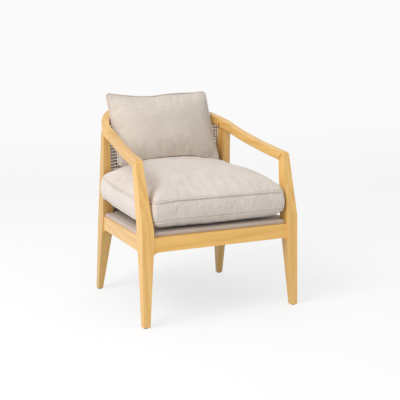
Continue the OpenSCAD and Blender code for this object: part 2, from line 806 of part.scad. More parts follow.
// Plan of the seat cushion, right half from the front middle to the back middle
post_in = leg_in(seat_pipe_z) - seat_gap;
post_clear_y = leg_back(seat_pipe_z + boxing_h + seat_lift + seat_crown / 2) + seat_gap + pipe_d;
wide_x = side_x(0) - seat_side_inset;
rear_clear_y = rear_front(seat_pipe_z + boxing_h + seat_lift + 60) - seat_gap - pipe_d;
narrow_x = rear_in(seat_pipe_z) - seat_gap - pipe_d;
seat_back_arc = cane_r - stile_t / 2 - seat_gap - pipe_d;
seat_front_y = front_y + seat_front_inset;
seat_front_r = 16;
seat_notch_r = 8;
seat_wing_r = 14;
seat_wing_rear_r = 9;
seat_wing_front = 14;
seat_wing_rear = 4;
seat_wing_taper = 3;
seat_arc_from = acos(narrow_x / seat_back_arc);
seat_arc_steps = 5;
function seat_half() = let(
    a = [0, seat_front_y], b = [post_in - pipe_d / 2, seat_front_y], c = [post_in - pipe_d / 2, post_clear_y],
    d = [wide_x, post_clear_y + seat_wing_front], e = [wide_x - seat_wing_taper, rear_clear_y],
    f = [narrow_x, rear_clear_y + seat_wing_rear],
    g = [narrow_x - 2, arc_y + seat_back_arc * sin(seat_arc_from)]
  ) concat(
    [for (i = [1:3]) [b[0] * (i - 0.5) / 3.6, seat_front_y]],
    fillet(a, b, c, seat_front_r, 3),
    fillet(b, c, d, seat_notch_r, 1),
    fillet(c, d, e, seat_wing_r, 2),
    [for (i = [1:2]) d + (e - d) * i / 3],
    fillet(d, e, f, seat_wing_rear_r, 2),
    fillet(e, f, g, seat_notch_r, 1),
    [for (i = [1:seat_arc_steps]) let(t = seat_arc_from + (90 - seat_arc_from) * (i - 0.5) / seat_arc_steps)
      [seat_back_arc * cos(t), arc_y + seat_back_arc * sin(t)]]
  );
seat_plan = let(h = seat_half()) concat(h, [for (i = [len(h) - 1:-1:0]) [-h[i][0], h[i][1]]]);
seat_mid = [0, (seat_front_y + arc_y + seat_back_arc) / 2];
function seat_tilt_z(y) = (y - seat_front_y) * tan(seat_tilt);
function seat_pipe_low(y) = seat_pipe_z + seat_tilt_z(y);
seat_rest = deck_top + 0.3;

// One ring of the cushion: share of the plan, height above the low piping
function seat_ring(share, rise, inset) = [for (p = seat_plan)
  let(q = seat_mid + (p - seat_mid) * share, n = norm(p - seat_mid),
      s = q - (p - seat_mid) / n * inset * min(1, share * 4))
    [s[0], s[1], seat_height(p, q, rise, inset)]];
function seat_height(p, q, rise, inset) = let(z = seat_pipe_low(q[1]) + rise)
  rise < 0 ? max(z, seat_rest) + inset : z + (rise > boxing_h ? -inset : 0);
seat_belly = seat_pipe_low(seat_mid[1]) - seat_rest + 10;
seat_rows = [
  [0.28, -seat_belly], [0.55, -seat_belly * 0.86], [0.78, -seat_belly * 0.56], [0.93, -seat_belly * 0.2],
  [1, 0], [1 + 0.6 * boxing_swell / 300, boxing_h * 0.25], [1 + boxing_swell / 300, boxing_h * 0.5],
  [1 + 0.6 * boxing_swell / 300, boxing_h * 0.75], [1, boxing_h],
  [0.94, boxing_h + seat_crown * 0.3], [0.82, boxing_h + seat_crown * 0.58],
  [0.62, boxing_h + seat_crown * 0.83], [0.32, boxing_h + seat_crown * 0.97]
];

// Closed skin over rings of equal length, with a point at each end
module skin(rings, first, last) {
  n = len(rings[0]);
  m = len(rings);
  points = concat([for (r = rings) each r], [first, last]);
  walls = [for (k = [0:m - 2]) for (i = [0:n - 1]) each [
    [k * n + i, k * n + (i + 1) % n, (k + 1) * n + i],
    [k * n + (i + 1) % n, (k + 1) * n + (i + 1) % n, (k + 1) * n + i]
  ]];
  low = [for (i = [0:n - 1]) [m * n, (i + 1) % n, i]];
  high = [for (i = [0:n - 1]) [m * n + 1, (m - 1) * n + i, (m - 1) * n + (i + 1) % n]];
  polyhedron(points = points, faces = [for (f = concat(walls, low, high)) [f[2], f[1], f[0]]]);
}
module seat_form(inset) {
  skin(
    [for (r = seat_rows) seat_ring(r[0], r[1], inset)],
    [seat_mid[0], seat_mid[1], seat_rest + inset],
    [seat_mid[0], seat_mid[1], seat_pipe_low(seat_mid[1]) + boxing_h + seat_crown - inset]
  );
}
module seat_cushion_cover() {
  color("lightgray") difference() {
    seat_form(0);
    seat_form(cover_t);
  }
}
module seat_cushion_core() {
  color("ivory") seat_form(cover_t + 0.3);
}

// Tube that follows a closed line of points
module closed_tube(path, r, sides) {
  n = len(path);
  rings = [for (i = [0:n - 1]) let(
      d = path[(i + 1) % n] - path[(i + n - 1) % n], t = d / norm(d),
      s0 = cross(t, [0, 0, 1]), s = s0 / norm(s0), u = cross(s, t)
    ) each [for (k = [0:sides - 1]) path[i] + r * (cos(360 * k / sides) * s + sin(360 * k / sides) * u)]];
  faces = [for (i = [0:n - 1]) for (k = [0:sides - 1]) let(
      a = i * sides + k, b = i * sides + (k + 1) % sides,
      c = ((i + 1) % n) * sides + k, d = ((i + 1) % n) * sides + (k + 1) % sides
    ) each [[a, b, c], [b, d, c]]];
  polyhedron(points = rings, faces = faces);
}
// An outline moved outward by a distance, square to its edges
function grow(outline, d) = let(n = len(outline)) [for (i = [0:n - 1]) let(
    a = outline[(i + n - 1) % n], b = outline[i], c = outline[(i + 1) % n],
    u = (b - a) / norm(b - a), v = (c - b) / norm(c - b),
    m = [u[1] + v[1], -u[0] - v[0]], w = m / norm(m)
  ) b + w * d / (w * [u[1], -u[0]])];

pipe_sides = 6;
pipe_gap = 0.9;
pipe_rest = 2.2;
function seat_pipe_path(rise) = let(line = grow(seat_plan, pipe_d / 2 + pipe_gap))
  [for (i = [0:len(line) - 1]) [line[i][0], line[i][1], seat_pipe_low(seat_plan[i][1]) + rise]];
module seat_cushion_piping() {
  color("silver") {
    closed_tube(seat_pipe_path(0), pipe_d / 2, pipe_sides);
    closed_tube(seat_pipe_path(boxing_h), pipe_d / 2, pipe_sides);
  }
}

// Zip along the back of the boxing
zip_w = 8;
zip_t = 1.6;
module seat_cushion_zip() {
  r0 = seat_back_arc + boxing_swell + 0.8;
  z0 = seat_pipe_low(arc_y + seat_back_arc) + boxing_h / 2 - zip_w / 2 - 4;
  color("dimgray") ring(r0, r0 + zip_t, z0, z0 + zip_w, 68, 112);
}

// Back cushion: a pillow with piped edges, cut to the seat where it rests
back_y = rear_y - back_set;
back_low_y = back_y - back_h / 2 * sin(back_lean);
back_z = seat_pipe_low(back_low_y) + boxing_h + seat_crown - back_sink + back_h / 2 * cos(back_lean);
back_rail_y = back_y + (arm_top(back_y) - back_z) * tan(back_lean);
back_w = 2 * (sqrt(pow(back_r - arm_w, 2) - pow(back_rail_y - arc_y, 2)) - pipe_d - pipe_gap - back_room);
back_n = 44;
back_square = 10;
back_crowd = 6;
function back_unit(a) = [cos(a), sin(a)]
  / pow(pow(abs(cos(a)), back_square) + pow(abs(sin(a)), back_square), 1 / back_square);
function back_plan(i) = let(t = 360 * (i + 0.5) / back_n, e = back_unit(t + back_crowd * sin(4 * t)))
  [e[0] * (back_w / 2 - back_draw * (1 - pow(e[1], 2))),
   e[1] * (back_h / 2 - back_draw * (1 - pow(e[0], 2)))];
function back_place(u, v, w) = [u, back_y + v * sin(back_lean) + w * cos(back_lean),
  back_z + v * cos(back_lean) - w * sin(back_lean)];
// Share of the seat's plan that a point lies at, and the height of the top panel there
function cross2(a, b) = a[0] * b[1] - a[1] * b[0];
function seat_share(p) = let(
    d = [p[0], p[1]] - seat_mid,
    n = len(seat_plan),
    shares = [for (i = [0:n - 1]) let(
      a = seat_plan[i] - seat_mid, b = seat_plan[(i + 1) % n] - seat_mid
    ) if (cross2(a, d) >= 0 && cross2(d, b) >= 0) cross2(d, b - a) / cross2(a, b)]
  ) len(shares) == 0 ? 1 : min(1, abs(max(shares)));
seat_profile = [for (i = [len(seat_rows) - 1:-1:8]) seat_rows[i]];
function seat_top(p) = seat_pipe_low(p[1])
  + lookup(seat_share(p), concat([[0, boxing_h + seat_crown]], seat_profile));
rest_gap = 0.3;
function rest_on_seat(p, gap) = [p[0], p[1], max(p[2], seat_top(p) + gap)];
function back_ring(share, depth, inset) = let(
    room = rest_gap + inset + (share == 1 ? pipe_d + pipe_rest + pipe_gap : 0))
  [for (i = [0:back_n - 1]) let(e = back_plan(i), n = norm(e), q = e * share - e / n * inset * 2)
    rest_on_seat(back_place(q[0], q[1], depth), room)];
back_rows = [[0.3, 0.49], [0.62, 0.4], [0.85, 0.22], [1, 0], [0.85, -0.22], [0.62, -0.4], [0.3, -0.49]];
module back_form(inset) {
  difference() {
    skin(
      [for (r = back_rows) back_ring(r[0], r[1] * (back_t - 2 * inset), inset)],
      back_place(0, 0, back_t / 2 - inset), back_place(0, 0, -back_t / 2 + inset)
    );
    translate([0, 0, rest_gap + inset]) seat_form(0);
  }
}
module back_cushion_cover() {
  color("lightgray") difference() {
    back_form(0);
    back_form(cover_t);
  }
}
module back_cushion_core() {
  color("ivory") back_form(cover_t + 0.3);
}
function back_pipe_path() = [for (q = grow([for (i = [0:back_n - 1]) back_plan(i)], pipe_d / 2 + pipe_gap))
  rest_on_seat(back_place(q[0], q[1], 0), pipe_d / 2 + pipe_rest)];
module back_cushion_piping() {
  color("silver") closed_tube(back_pipe_path(), pipe_d / 2, pipe_sides);
}

color("burlywood") mirror([1, 0, 0]) front_leg();  // front_leg_left
color("burlywood") front_leg();  // front_leg_right
color("burlywood") mirror([1, 0, 0]) rear_leg();  // rear_leg_left
color("burlywood") rear_leg();  // rear_leg_right
color("burlywood") mirror([1, 0, 0]) arm();  // arm_left
color("burlywood") arm();  // arm_right
back_rail();
arm_dowels();
seat_rail_front();
mirror([1, 0, 0]) seat_rail_side();  // seat_rail_left
seat_rail_side();  // seat_rail_right
seat_rail_back();
corner_blocks();
corner_bolts();
color("burlywood") mirror([1, 0, 0]) cane_stile();  // cane_stile_left
color("burlywood") cane_stile();  // cane_stile_right
cane_webbing();
cane_splines();
deck_board();
deck_pad();
deck_cover();
deck_screws();
dust_cover();
foot_glides();
seat_cushion_cover();
seat_cushion_core();
seat_cushion_piping();
seat_cushion_zip();
back_cushion_cover();
back_cushion_core();
back_cushion_piping();
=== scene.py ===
# Occasional chair: bent oak frame, cane barrel back, loose seat and back cushions on an upholstered deck
import json
import math
import bmesh
import bpy
from functools import cache
from itertools import groupby, product
from mathutils import Matrix, Vector, kdtree, noise
from mathutils.bvhtree import BVHTree


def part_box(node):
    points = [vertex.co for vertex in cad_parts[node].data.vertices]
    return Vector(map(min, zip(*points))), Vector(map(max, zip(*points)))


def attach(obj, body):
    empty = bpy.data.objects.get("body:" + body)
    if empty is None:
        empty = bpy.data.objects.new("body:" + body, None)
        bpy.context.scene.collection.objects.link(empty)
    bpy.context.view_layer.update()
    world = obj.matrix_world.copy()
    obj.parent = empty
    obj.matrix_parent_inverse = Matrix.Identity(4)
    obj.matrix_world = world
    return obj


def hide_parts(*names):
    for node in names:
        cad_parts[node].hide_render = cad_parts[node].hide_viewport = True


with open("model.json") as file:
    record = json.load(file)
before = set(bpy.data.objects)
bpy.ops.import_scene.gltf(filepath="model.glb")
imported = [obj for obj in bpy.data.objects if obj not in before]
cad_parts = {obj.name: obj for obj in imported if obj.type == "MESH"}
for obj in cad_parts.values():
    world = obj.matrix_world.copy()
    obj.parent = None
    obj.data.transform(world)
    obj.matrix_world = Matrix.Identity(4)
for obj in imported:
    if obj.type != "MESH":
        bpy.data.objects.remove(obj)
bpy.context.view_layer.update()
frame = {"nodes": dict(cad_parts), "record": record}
nodes = frame["nodes"]
print("chair: frame loaded")

scene = bpy.context.scene
scene.view_settings.view_transform = "Standard"


def addObject(name, data):
    thing = bpy.data.objects.new(name, data)
    scene.collection.objects.link(thing)
    return thing


def meshFrom(form, name):
    # the finished form as a mesh
    mesh = bpy.data.meshes.new(name)
    form.to_mesh(mesh)
    form.free()
    return mesh


# Camera, where the photograph was taken from
cameraView = {
    "place": (-1.2109, -2.6485, 0.8277),
    "yaw": 25.975,    # degrees to the right of straight ahead
    "pitch": 8.841,   # degrees down
    "roll": -0.656,
    "lens": 67.35,    # millimetres
    "sensor": 36,     # millimetres across
    "clipEnd": 60,
}


def addCamera():
    yaw, pitch, roll = (math.radians(cameraView[k]) for k in ("yaw", "pitch", "roll"))
    ahead = Vector((math.sin(yaw) * math.cos(pitch), math.cos(yaw) * math.cos(pitch), -math.sin(pitch)))
    side = Vector((math.cos(yaw), -math.sin(yaw), 0))
    up = side.cross(ahead)
    right = side * math.cos(roll) + up * math.sin(roll)
    top = up * math.cos(roll) - side * math.sin(roll)
    data = bpy.data.cameras.new("camera")
    data.lens = cameraView["lens"]
    data.sensor_width = cameraView["sensor"]
    data.clip_end = cameraView["clipEnd"]
    camera = addObject("camera", data)
    turn = Matrix((right, top, -ahead)).transposed()
    camera.matrix_world = Matrix.Translation(cameraView["place"]) @ turn.to_4x4()
    scene.camera = camera


addCamera()
print("chair: camera placed")


# Short ways to build a material's nodes
def srgb(r, g, b):
    def linear(c):
        c = c / 255
        return c / 12.92 if c <= 0.04045 else ((c + 0.055) / 1.055) ** 2.4
    return (linear(r), linear(g), linear(b), 1)


class Tree:
    def __init__(self, name, kind=bpy.data.materials):
        self.owner = kind.new(name)
        self.owner.use_nodes = True
        self.nodes = self.owner.node_tree.nodes
        self.links = self.owner.node_tree.links
        self.shader = self.nodes.get("Principled BSDF")

    def fill(self, socket, value):
        if isinstance(value, bpy.types.NodeSocket):
            self.links.new(value, socket)
        else:
            socket.default_value = value

    def add(self, kind, inputs=None, **settings):
        node = self.nodes.new(kind)
        for key, value in settings.items():
            setattr(node, key, value)
        for key, value in (inputs or {}).items():
            self.fill(node.inputs[key], value)
        return node

    def place(self):
        return self.add("ShaderNodeTexCoord").outputs["Object"]

    def stretched(self, vector, scale):
        return self.add("ShaderNodeMapping", {"Vector": vector, "Scale": scale}).outputs[0]

    def math(self, operation, *values):
        return self.add("ShaderNodeMath", dict(enumerate(values)), operation=operation).outputs[0]

    def spread(self, value, low, high, lowest, highest):
        # from low to high becomes from lowest to highest
        inputs = {0: value, 1: low, 2: high, 3: lowest, 4: highest}
        return self.add("ShaderNodeMapRange", inputs).outputs[0]

    def split(self, vector):
        return self.add("ShaderNodeSeparateXYZ", {0: vector}).outputs

    def dot(self, a, b):
        return self.add("ShaderNodeVectorMath", {0: a, 1: b}, operation="DOT_PRODUCT").outputs["Value"]

    def noise(self, vector, scale, detail=3.0, rough=0.5):
        inputs = {"Vector": vector, "Scale": scale, "Detail": detail, "Roughness": rough}
        return self.add("ShaderNodeTexNoise", inputs).outputs["Fac"]

    def ramp(self, factor, stops):
        node = self.add("ShaderNodeValToRGB", {"Fac": factor})
        while len(node.color_ramp.elements) < len(stops):
            node.color_ramp.elements.new(0.5)
        for element, (place, colour) in zip(node.color_ramp.elements, stops):
            element.position = place
            element.color = colour
        return node.outputs["Color"]

    def mix(self, factor, a, b, blend="MIX"):
        inputs = {0: factor, 6: a, 7: b}
        return self.add("ShaderNodeMix", inputs, data_type="RGBA", blend_type=blend).outputs[2]

    def finish(self, colour, height, bumpSize, bumpStrength, rough, **sockets):
        bump = self.add("ShaderNodeBump", {"Height": height, "Distance": bumpSize, "Strength": bumpStrength})
        sockets.update(Base_Color=colour, Roughness=rough, Normal=bump.outputs["Normal"])
        for key, value in sockets.items():
            self.fill(self.shader.inputs[key.replace("_", " ")], value)
        return self.owner


# Where the barrel's curve is centred, from the back rail's own box
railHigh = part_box("back_rail")[1]
barrelRadius = railHigh[0]
barrelCentre = Vector((0, railHigh[1] - barrelRadius, 0))


# Oak: pale golden, straight grain along each piece, fine dark pores, satin lacquer
oakLook = {
    "tones": ((0.16, srgb(208, 157, 82)), (0.42, srgb(226, 178, 101)), (0.66, srgb(234, 190, 116)),
              (0.95, srgb(240, 204, 140))),
    "mid": srgb(226, 178, 101),
    "pore": srgb(168, 118, 62),
    "figure": 70,          # how fine the figure, the bands and the pores are
    "bands": 16,
    "bandShare": 0.25,     # of the tone; the figure gives the rest
    "pores": 620,
    "poreEdge": (0.6, 0.74),
    "patches": 3.5,        # how fine the broad plain patches are
    "long": 0.06,          # how far the figure and the pores are drawn out along the grain
    "poreLong": 0.035,
    "rough": 0.36,
    "coat": 0.25,
    "coatRough": 0.32,
    "poreDepth": 0.00012,
}


def grainVector(tree, grain, shift):
    place = tree.place()
    if grain == "curve":
        # along the bend of the barrel: radius, length round the curve, height
        parts = tree.split(place)
        depth = tree.math("SUBTRACT", parts[1], barrelCentre.y)
        angle = tree.math("ARCTAN2", depth, parts[0])
        along = tree.math("MULTIPLY", angle, barrelRadius)
        squares = [tree.math("MULTIPLY", part, part) for part in (parts[0], depth)]
        reach = tree.math("SQRT", tree.math("ADD", *squares))
        place = tree.add("ShaderNodeCombineXYZ", {0: reach, 1: parts[2], 2: along}).outputs[0]
        turn = (0, 0, 0)
    else:
        turn = {"up": (0, 0, 0), "across": (0, math.pi / 2, 0), "deep": (math.pi / 2, 0, 0)}[grain]
    mapping = tree.add("ShaderNodeMapping", {"Vector": place, "Rotation": turn, "Location": shift})
    return mapping.outputs[0]


def makeOak(name, grain, shift, tone):
    tree = Tree(name)
    place = grainVector(tree, grain, shift)
    drawn = tree.stretched(place, (1, 1, oakLook["long"]))
    figure = tree.noise(drawn, oakLook["figure"], 4, 0.6)
    wave = {"Vector": drawn, "Scale": oakLook["bands"], "Distortion": 6, "Detail": 3, "Detail Scale": 1.4}
    bands = tree.add("ShaderNodeTexWave", wave, bands_direction="DIAGONAL").outputs["Fac"]
    share = oakLook["bandShare"]
    body = tree.math("MULTIPLY_ADD", bands, share, tree.math("MULTIPLY", figure, 1 - share))
    colour = tree.ramp(body, oakLook["tones"])
    patches = tree.noise(place, oakLook["patches"], 2, 0.5)
    colour = tree.mix(tree.math("MULTIPLY", patches, 0.5), colour, oakLook["mid"])
    pores = tree.noise(tree.stretched(place, (1, 1, oakLook["poreLong"])), oakLook["pores"], 2, 0.6)
    poreMask = tree.spread(pores, *oakLook["poreEdge"], 0, 1)
    poreFade = tree.math("MULTIPLY", poreMask, tree.math("MULTIPLY_ADD", bands, 0.4, 0.25))
    colour = tree.mix(poreFade, colour, oakLook["pore"])
    # the piece's tone is painted light and shade: darker for pieces in shade, brighter or paler for those
    # that take the light
    colour = tree.mix(1.0, colour, (*tone, 1), "MULTIPLY")
    rough = tree.math("MULTIPLY_ADD", figure, 0.12, oakLook["rough"])
    height = tree.math("SUBTRACT", 1.0, poreMask)
    return tree.finish(colour, height, oakLook["poreDepth"], 0.5, rough, Coat_Weight=oakLook["coat"],
                       Coat_Roughness=oakLook["coatRough"])


# Each oak piece: the way of its grain, its place in the wood, the width of its eased edges and its tone.
# The tone is painted light and shade: the rear legs, the arms and the back rail are darkened as painted
# shade, the front rail and the right front leg are made brighter as painted light, and the left rail is
# made paler and cooler as a painted sheen.
# It is the node's own form with its edges rounded over, but not at its joints. The front rail is cut
# across first, because its long many-sided faces would be filled wrongly.
oakPieces = {
    "front_leg_left": ("up", (0.3, 0.1, 0.2), 0.004, (1, 1, 0.99)),
    "front_leg_right": ("up", (1.1, 0.4, 0.7), 0.004, (1.02, 1.02, 1)),
    "rear_leg_left": ("up", (2.3, 0.9, 0.1), 0.0035, (0.84, 0.84, 0.84)),
    "rear_leg_right": ("up", (3.7, 0.2, 0.5), 0.0035, (0.9, 0.89, 0.86)),
    "arm_left": ("deep", (0.7, 1.3, 0.3), 0.004, (0.86, 0.85, 0.85)),
    "arm_right": ("deep", (0.2, 2.1, 1.3), 0.004, (0.96, 0.96, 0.96)),
    "back_rail": ("curve", (0.5, 0.6, 0.4), 0.004, (0.95, 0.95, 0.92)),
    "seat_rail_front": ("across", (0.9, 0.8, 0.2), 0.0022, (1.05, 1.02, 0.86)),
    "seat_rail_left": ("deep", (1.9, 0.3, 0.8), 0.0022, (0.97, 0.99, 1.1)),
    "seat_rail_right": ("deep", (2.9, 1.7, 0.6), 0.0022, (1, 1, 1)),
    "seat_rail_back": ("curve", (1.5, 0.1, 0.9), 0.0022, (1, 1, 1)),
    "cane_stile_left": ("up", (4.1, 0.5, 0.3), 0.0015, (1, 1, 1)),
    "cane_stile_right": ("up", (4.9, 0.7, 0.1), 0.0015, (1, 1, 1)),
}
frontCuts = (-0.245, -0.12, 0, 0.12, 0.245)
easeShares = (1, 0.75, 0.55, 0.4, 0.25, 0.1)   # narrower where the full width leaves false faces
joinedBy = ["arm_dowels", "corner_bolts", "foot_glides", "cane_webbing", "cane_splines"]


def meshPiece(name, mesh, body, material, node=None):
    piece = addObject(name, mesh)
    mesh.materials.append(material)
    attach(piece, body)
    if node:
        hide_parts(node)
    return piece


def applyModifiers(piece):
    graph = bpy.context.evaluated_depsgraph_get()
    mesh = bpy.data.meshes.new_from_object(piece.evaluated_get(graph))
    old = piece.data
    piece.modifiers.clear()
    piece.data = mesh
    bpy.data.meshes.remove(old)


def faceOut(form):
    bmesh.ops.recalc_face_normals(form, faces=form.faces)


def joinRings(form, rings):
    # skins one closed ring of points to the next
    for a, b in zip(rings, rings[1:]):
        for i in range(len(a)):
            k = (i + 1) % len(a)
            form.faces.new((a[i], a[k], b[k], b[i]))


def surfaceOf(piece):
    mesh = piece.data
    return BVHTree.FromPolygons([v.co for v in mesh.vertices], [p.vertices for p in mesh.polygons])


def cleanForm(node, flat=0.01, wanted=None):
    # the node's mesh, or its wanted faces, with shared corners and whole flat faces
    form = bmesh.new()
    form.from_mesh(nodes[node].data)
    bmesh.ops.remove_doubles(form, verts=form.verts, dist=1e-6)
    if wanted:
        bmesh.ops.delete(form, geom=[f for f in form.faces if not wanted(f)], context="FACES")
    bmesh.ops.dissolve_limit(form, angle_limit=flat, verts=form.verts, edges=form.edges)
    return form


def joinFaces(form, node, surfaces):
    # faces that lie against another piece of the frame; of the legs' ends only the glides' own seats
    found = set()
    touch, facing, seatArea = 0.0006, 0.9, 0.0002
    for face in form.faces:
        centre = face.calc_center_median()
        for other, surface in surfaces.items():
            if other == node:
                continue
            spot, normal, _, _ = surface.find_nearest(centre, touch)
            if spot and abs(normal.dot(face.normal)) > facing:
                if other != "foot_glides" or face.calc_area() < seatArea:
                    found.add(face)
                    break
    return found


def cutForm(form, place, way):
    bmesh.ops.bisect_plane(form, geom=form.verts[:] + form.edges[:] + form.faces[:], plane_co=place,
                           plane_no=way)


def easedForm(node, surfaces, width):
    form = cleanForm(node, math.radians(0.4))
    for x in frontCuts if node == "seat_rail_front" else ():
        cutForm(form, (x, 0, 0), (1, 0, 0))
    joins = joinFaces(form, node, surfaces)
    edges = []
    for edge in form.edges:
        if len(edge.link_faces) != 2 or not edge.is_convex:
            continue
        if any(face in joins for face in edge.link_faces):
            continue
        if edge.calc_face_angle() > math.radians(26):
            edges.append(edge)
    bmesh.ops.bevel(form, geom=edges, offset=width, offset_type="OFFSET", segments=4, profile=0.5,
                    affect="EDGES", clamp_overlap=True)
    return form


def liesTrue(form):
    # cutting the many-sided faces into triangles leaves their area as it was
    trial = form.copy()
    bmesh.ops.triangulate(trial, faces=trial.faces)
    cut = sum(face.calc_area() for face in trial.faces)
    trial.free()
    return abs(cut - sum(face.calc_area() for face in form.faces)) < 0.00002


def easeOak():
    surfaces = {node: surfaceOf(nodes[node]) for node in (*oakPieces, *joinedBy)}
    for node, (grain, shift, width, tone) in oakPieces.items():
        # the narrowest is kept when none lies true
        for share in easeShares:
            form = easedForm(node, surfaces, width * share)
            if liesTrue(form) or share == easeShares[-1]:
                break
            form.free()
        print("chair:", node, "eased by", round(width * share * 1000, 2), "mm")
        mesh = meshFrom(form, "oak_" + node)
        mesh.shade_smooth()
        material = makeOak("oak " + node.replace("_", " "), grain, shift, tone)
        piece = meshPiece("oak_" + node, mesh, "frame", material, node)
        mesh.set_sharp_from_angle(angle=math.radians(38))
        level = piece.modifiers.new("level", "WEIGHTED_NORMAL")
        level.keep_sharp = True
        applyModifiers(piece)


easeOak()
print("chair: oak eased")


# Linen: plain weave with slubs, pale greige; each face takes the threads that run along it
linenLook = {
    "tones": ((0.25, srgb(190, 177, 166)), (0.48, srgb(214, 204, 196)), (0.75, srgb(228, 220, 213))),
    "pitch": 0.0011,       # metres from thread to thread
    "slubs": 420,
    "wander": 0.004,       # metres that a thread strays
    "weaveShare": 0.22,    # of the tone, for the weave, the slubs and the broad clouds
    "slubShare": 0.7,
    "cloudShare": 0.25,
    "bump": 0.00022,
    "rough": 0.88,
    "sheen": 0.25,
}


def makeLinen(name, plane, tint=None):
    tree = Tree(name)
    place = tree.place()
    parts = tree.split(place)
    u, v = {"top": (parts[0], parts[1]), "front": (parts[0], parts[2]), "side": (parts[1], parts[2])}[plane]
    wander = tree.math("MULTIPLY", tree.math("SUBTRACT", tree.noise(place, 45, 2), 0.5), linenLook["wander"])
    waves = []
    for line in (u, v):
        phase = tree.math("MULTIPLY", tree.math("ADD", line, wander), 2 * math.pi / linenLook["pitch"])
        waves.append(tree.math("SINE", phase))
    cross = tree.math("MULTIPLY", waves[0], waves[1])
    plainWeave = tree.math("MULTIPLY_ADD", cross, 0.5, 0.5)
    flat = tree.add("ShaderNodeCombineXYZ", {0: u, 1: v, 2: 0.0}).outputs[0]
    slubs = []
    for stretch in ((1, 0.05, 1), (0.05, 1, 1)):
        slubs.append(tree.noise(tree.stretched(flat, stretch), linenLook["slubs"], 3, 0.6))
    slub = tree.math("MULTIPLY", tree.math("ADD", slubs[0], slubs[1]), 0.5)
    cloud = tree.math("SUBTRACT", tree.noise(place, 9, 3, 0.5), 0.5)
    cloud = tree.math("MULTIPLY", cloud, linenLook["cloudShare"])
    tone = tree.math("MULTIPLY_ADD", slub, linenLook["slubShare"], cloud)
    tone = tree.math("MULTIPLY_ADD", plainWeave, linenLook["weaveShare"], tone)
    colour = tree.ramp(tone, linenLook["tones"])
    # the tint multiplies the colour: on the back cushion and the deck it is painted shade
    if tint:
        colour = tree.mix(1.0, colour, tint, "MULTIPLY")
    height = tree.math("MULTIPLY_ADD", slub, 1.1, plainWeave)
    return tree.finish(colour, height, linenLook["bump"], 0.6, linenLook["rough"],
                       Sheen_Weight=linenLook["sheen"], Sheen_Roughness=0.5, Specular_IOR_Level=0.2)


def coverInLinen(piece, body, name, tint=None):
    # one linen for level faces, one for faces to the front or back, and one for faces to the sides
    mesh = piece.data
    mesh.shade_smooth()
    for plane in ("top", "front", "side"):
        mesh.materials.append(makeLinen(name + " " + plane, plane, tint))
    for face in mesh.polygons:
        x, y, z = (abs(c) for c in face.normal)
        face.material_index = 0 if z > 0.62 else (1 if y >= x else 2)
    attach(piece, body)


# Cushions: a sewn form with its seams pinned, blown up as cloth
clothFrames = 20
restHeight = 0.004         # cloth this low over what it rests on stays in its place
clothSettings = {
    "quality": 4,
    "mass": 0.3,
    "tension_stiffness": 12,
    "compression_stiffness": 12,
    "shear_stiffness": 4,
    "bending_stiffness": 0.5,
    "use_pressure": True,
    "vertex_group_mass": "seams",
}


def remesh(piece, voxel, smooth):
    even = piece.modifiers.new("remesh", "REMESH")
    even.mode = "VOXEL"
    even.voxel_size = voxel
    soften = piece.modifiers.new("soften", "SMOOTH")
    soften.factor = 0.5
    soften.iterations = smooth
    applyModifiers(piece)


def inflate(piece, pins, look):
    # no point moves further than the cap, or further sideways than the side cap
    rest = [v.co.copy() for v in piece.data.vertices]
    group = piece.vertex_groups.new(name="seams")
    for i, co in enumerate(rest):
        if pins(i, co):
            group.add([i], 1.0, "REPLACE")
    cloth = piece.modifiers.new("cloth", "CLOTH")
    settings = cloth.settings
    for name, value in clothSettings.items():
        setattr(settings, name, value)
    settings.uniform_pressure_force = look["pressure"]
    settings.shrink_min = -look["spare"]
    settings.effector_weights.gravity = 0
    cloth.point_cache.frame_start = 1
    cloth.point_cache.frame_end = clothFrames
    for number in range(1, clothFrames + 1):
        scene.frame_set(number)
    graph = bpy.context.evaluated_depsgraph_get()
    blown = piece.evaluated_get(graph)
    moved = [v.co.copy() for v in blown.to_mesh().vertices]
    blown.to_mesh_clear()
    piece.modifiers.clear()
    scene.frame_set(1)
    for vertex, start, end in zip(piece.data.vertices, rest, moved):
        step = end - start
        flat = math.hypot(step.x, step.y)
        if flat > look["sideCap"]:
            step.x *= look["sideCap"] / flat
            step.y *= look["sideCap"] / flat
        if step.length > look["cap"]:
            step *= look["cap"] / step.length
        vertex.co = start + step


def subdivide(piece):
    fine = piece.modifiers.new("fine", "SUBSURF")
    fine.levels = 1
    applyModifiers(piece)


def evenLoop(points, spacing):
    # the same closed line with evenly spaced points
    lengths = [0.0]
    for a, b in zip(points, points[1:] + points[:1]):
        lengths.append(lengths[-1] + (b - a).length)
    count = max(8, round(lengths[-1] / spacing))
    line = []
    k = 0
    for i in range(count):
        at = lengths[-1] * i / count
        while lengths[k + 1] < at:
            k += 1
        share = (at - lengths[k]) / max(1e-9, lengths[k + 1] - lengths[k])
        line.append(points[k].lerp(points[(k + 1) % len(points)], share))
    return line


def softenLoop(points, rounds):
    for _ in range(rounds):
        triples = zip(points[-1:] + points, points, points[1:] + points[:1])
        points = [(before + point * 2 + after) / 4 for before, point, after in triples]
    return points


def nearLine(points):
    line = kdtree.KDTree(len(points))
    for i, point in enumerate(points):
        line.insert(point, i)
    line.balance()
    return line


def drawIn(piece, seam, look, inward, seed):
    # pulls the cloth in along a seam, with small puckers beside it
    line = nearLine(seam)
    reach = look["seamReach"]
    for vertex in piece.data.vertices:
        _, index, gap = line.find(vertex.co)
        if gap > reach * 8:
            continue
        pull = look["seamDepth"] * math.exp(-(gap / reach) ** 2)
        ripple = noise.noise(Vector((index * 0.21, seed, vertex.co.z * 12)))
        fold = math.exp(-((gap - reach * 2) / (reach * 2.4)) ** 2)
        pull += look["pucker"] * ripple * fold
        vertex.co += inward(vertex.co) * pull


